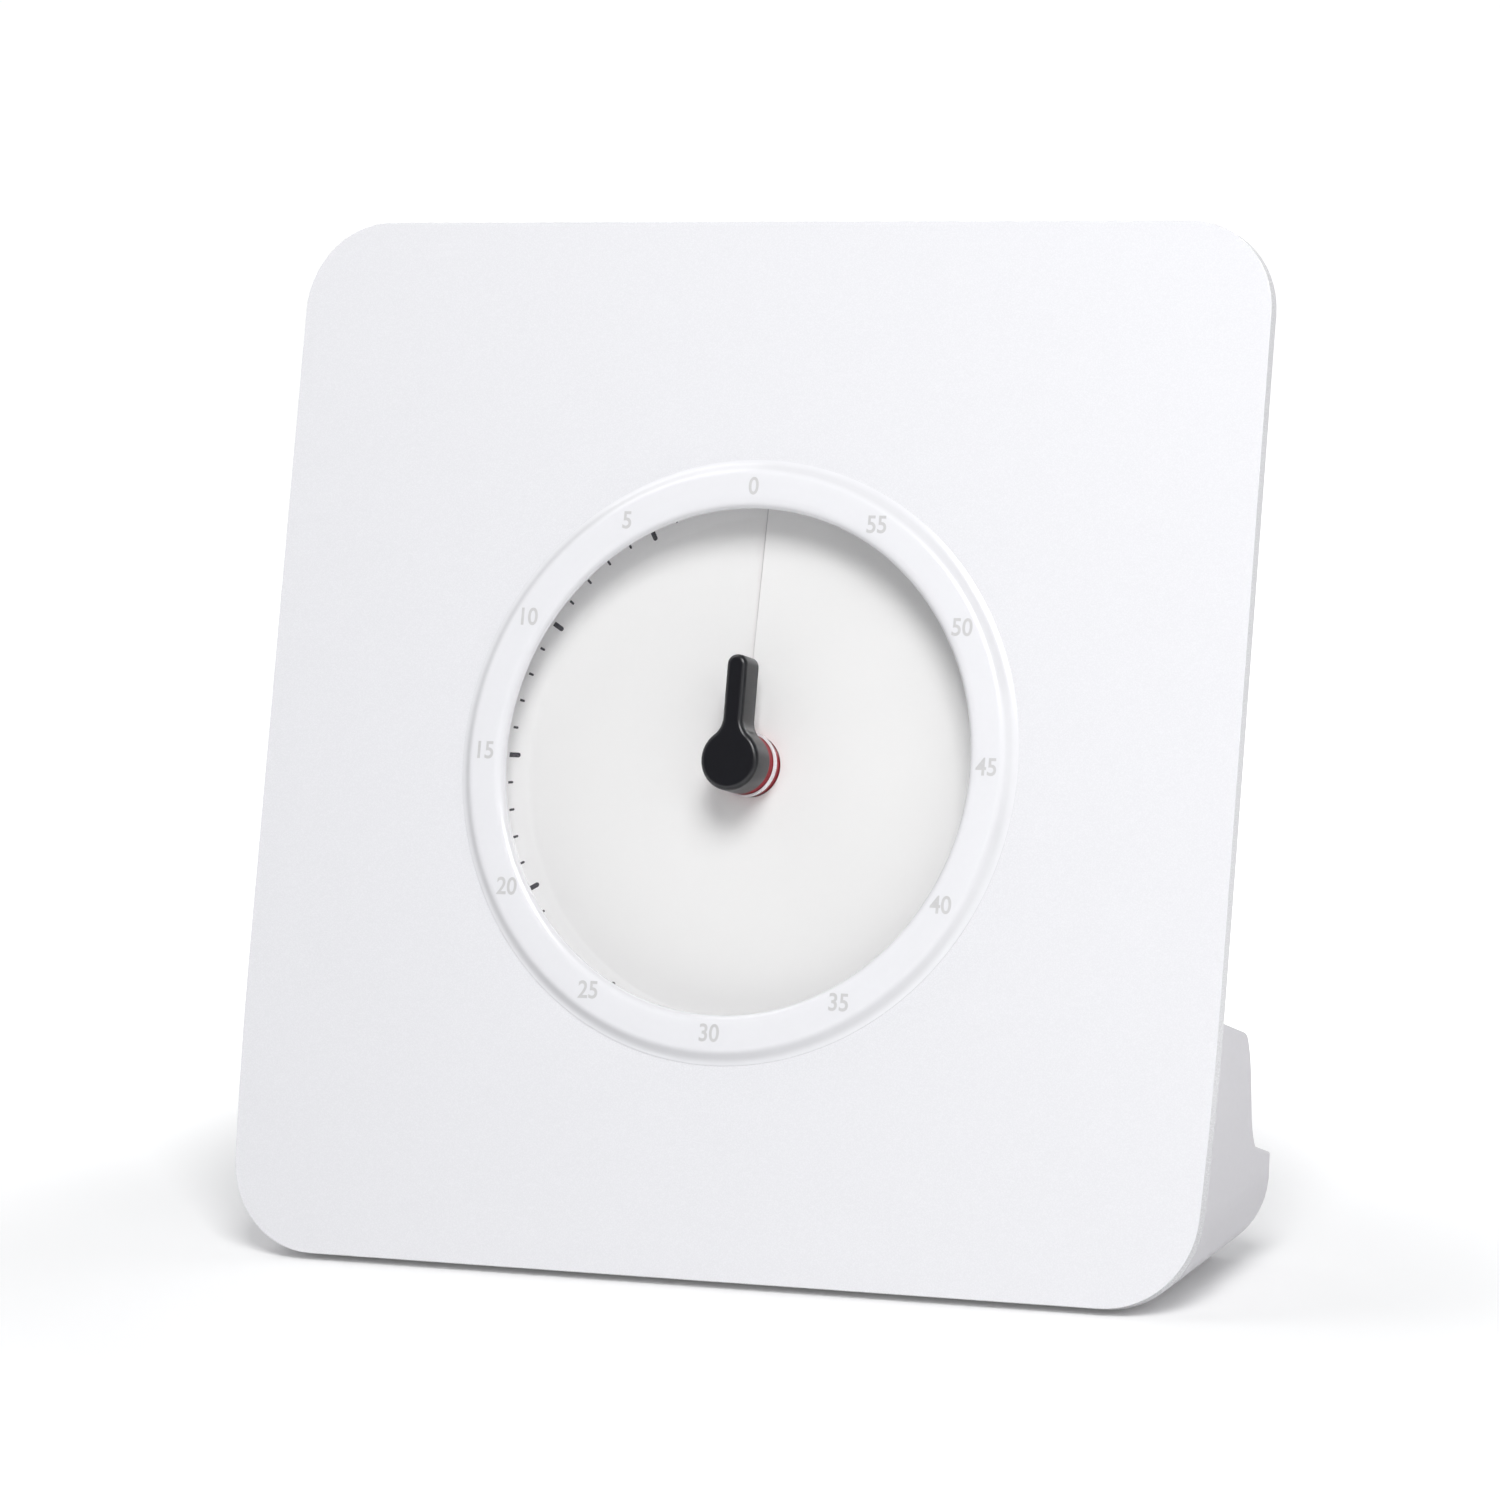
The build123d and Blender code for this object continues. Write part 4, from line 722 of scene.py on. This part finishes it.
def seen_rays(tree):
    """One for camera rays, and one for those that only mirrors and lenses have turned."""
    rays = tree.nodes.new("ShaderNodeLightPath").outputs
    turned = math_node(tree, "MAXIMUM", rays["Is Glossy Ray"], rays["Is Transmission Ray"])
    unscattered = math_node(tree, "LESS_THAN", rays["Diffuse Depth"], 0.5)
    return rays["Is Camera Ray"], math_node(tree, "MULTIPLY", turned, unscattered)


def floor_material():
    """White paper: its far part is lifted to white for the camera, and shadows stay near."""
    mat, tree, shader, out = new_material("studio_floor_white")
    shader.inputs["Base Color"].default_value = (*FLOOR_WHITE, 1)
    shader.inputs["Roughness"].default_value = 0.9
    shader.inputs["Specular IOR Level"].default_value = 0.0
    coords = tree.nodes.new("ShaderNodeTexCoord")
    oval = tree.nodes.new("ShaderNodeMapping")
    oval.inputs["Scale"].default_value = (1.0, OVAL_SQUEEZE, 1.0)
    oval.inputs["Location"].default_value = (0.0, -OVAL_SQUEEZE * OVAL_MIDDLE_M, 0.0)
    tree.links.new(coords.outputs["Object"], oval.inputs["Vector"])
    reach = tree.nodes.new("ShaderNodeVectorMath")
    reach.operation = "LENGTH"
    tree.links.new(oval.outputs["Vector"], reach.inputs[0])
    lift = ranged(
        tree, reach.outputs["Value"], (NEAR_M, FAR_M), (NEAR_LIFT, FAR_LIFT), smooth=True
    )
    camera_ray, mirrored = seen_rays(tree)
    glow = tree.nodes.new("ShaderNodeEmission")
    seen = math_node(tree, "MAXIMUM", camera_ray, mirrored)
    tree.links.new(math_node(tree, "MULTIPLY", seen, lift), glow.inputs["Strength"])
    both = tree.nodes.new("ShaderNodeAddShader")
    tree.links.new(shader.outputs["BSDF"], both.inputs[0])
    tree.links.new(glow.outputs["Emission"], both.inputs[1])
    tree.links.new(both.outputs["Shader"], out.inputs["Surface"])
    return mat


def make_floor():
    """A floor that reaches past all that the camera sees."""
    mesh = bpy.data.meshes.new("studio_floor")
    half = FLOOR_HALF_M
    corners = [(-half, -half, 0), (half, -half, 0), (half, half, 0), (-half, half, 0)]
    mesh.from_pydata(corners, [], [(0, 1, 2, 3)])
    mesh.materials.append(floor_material())
    floor = bpy.data.objects.new("studio_floor", mesh)
    bpy.context.scene.collection.objects.link(floor)


def make_world():
    """A white backdrop for the camera, and soft light that is dimmer from the front."""
    world = bpy.data.worlds.new("studio")
    bpy.context.scene.world = world
    world.use_nodes = True
    tree = world.node_tree
    tree.nodes.clear()
    out = tree.nodes.new("ShaderNodeOutputWorld")
    coords = tree.nodes.new("ShaderNodeTexCoord")
    split = tree.nodes.new("ShaderNodeSeparateXYZ")
    tree.links.new(coords.outputs["Generated"], split.inputs["Vector"])
    to_left = math_node(tree, "MULTIPLY", split.outputs["X"], ROOM_SLANT)
    side = math_node(tree, "ADD", split.outputs["Y"], to_left)
    backdrop = ranged(tree, side, ROOM_CHANGE, (0.0, 1.0), smooth=True)
    ambient = tree.nodes.new("ShaderNodeBackground")
    ambient.inputs["Color"].default_value = (*ROOM_TINT, 1)
    level = ranged(tree, side, ROOM_CHANGE, (FRONT_LEVEL, BACK_LEVEL), smooth=True)
    tree.links.new(level, ambient.inputs["Strength"])
    white = tree.nodes.new("ShaderNodeBackground")
    white.inputs["Color"].default_value = (1, 1, 1, 1)
    white.inputs["Strength"].default_value = 1.0
    camera_ray, mirrored = seen_rays(tree)
    pick = tree.nodes.new("ShaderNodeMixShader")
    mirrored_backdrop = math_node(tree, "MULTIPLY", mirrored, backdrop)
    share = math_node(tree, "MAXIMUM", camera_ray, mirrored_backdrop)
    tree.links.new(share, pick.inputs["Fac"])
    tree.links.new(ambient.outputs["Background"], pick.inputs[1])
    tree.links.new(white.outputs["Background"], pick.inputs[2])
    tree.links.new(pick.outputs["Shader"], out.inputs["Surface"])


make_floor()
make_world()


# ---------------------------------------------------------------- lamps
AIM = Vector((0.0, 0.0, 0.2))        # all lamps face the dial, in metres
LAMPS = {                            # way from there, distance in metres, size, power
    "key_softbox": ((0.33, -0.56, 0.76), 2.6, 1.1, 45.0),
    "top_left_softbox": ((-0.60, 0.10, 0.80), 2.0, 0.9, 6.0),
    "right_softbox": ((0.80, -0.50, 0.33), 1.5, 0.8, 2.8),
}
for name, (way, distance, size, watts) in LAMPS.items():
    lamp = bpy.data.lights.new(name, "AREA")
    lamp.size = size
    lamp.energy = watts
    holder = bpy.data.objects.new(name, lamp)
    bpy.context.scene.collection.objects.link(holder)
    holder.location = AIM + distance * Vector(way)
    holder.rotation_euler = (AIM - holder.location).to_track_quat("-Z", "Y").to_euler()

# ---------------------------------------------------------------- camera
# Fitted to the photo, in the dial's frame: its place, and which ways the picture's right side,
# its foot and its depth point.
CAMERA_PLACE = Vector((1132.48, -271.80, 2428.90))
CAMERA_RIGHT = Vector((0.90768, 0.08086, -0.41181))
CAMERA_DOWN = Vector((0.03065, -0.99142, -0.12709))
CAMERA_AHEAD = Vector((-0.41855, 0.10274, -0.90236))
SENSOR_WIDTH = 36.0
FOCAL_LENGTH = 159.85
camera_data = bpy.data.cameras.new("camera")
camera_data.sensor_width = SENSOR_WIDTH
camera_data.lens = FOCAL_LENGTH
camera_data.clip_start = 0.1
camera_data.clip_end = 50.0
camera = bpy.data.objects.new("camera", camera_data)
bpy.context.scene.collection.objects.link(camera)
turn = Matrix((CAMERA_RIGHT, -CAMERA_DOWN, -CAMERA_AHEAD)).transposed().to_4x4()
camera.matrix_world = DIAL @ Matrix.Translation(CAMERA_PLACE * MM) @ turn
bpy.context.scene.camera = camera
bpy.context.scene.view_settings.view_transform = "Standard"
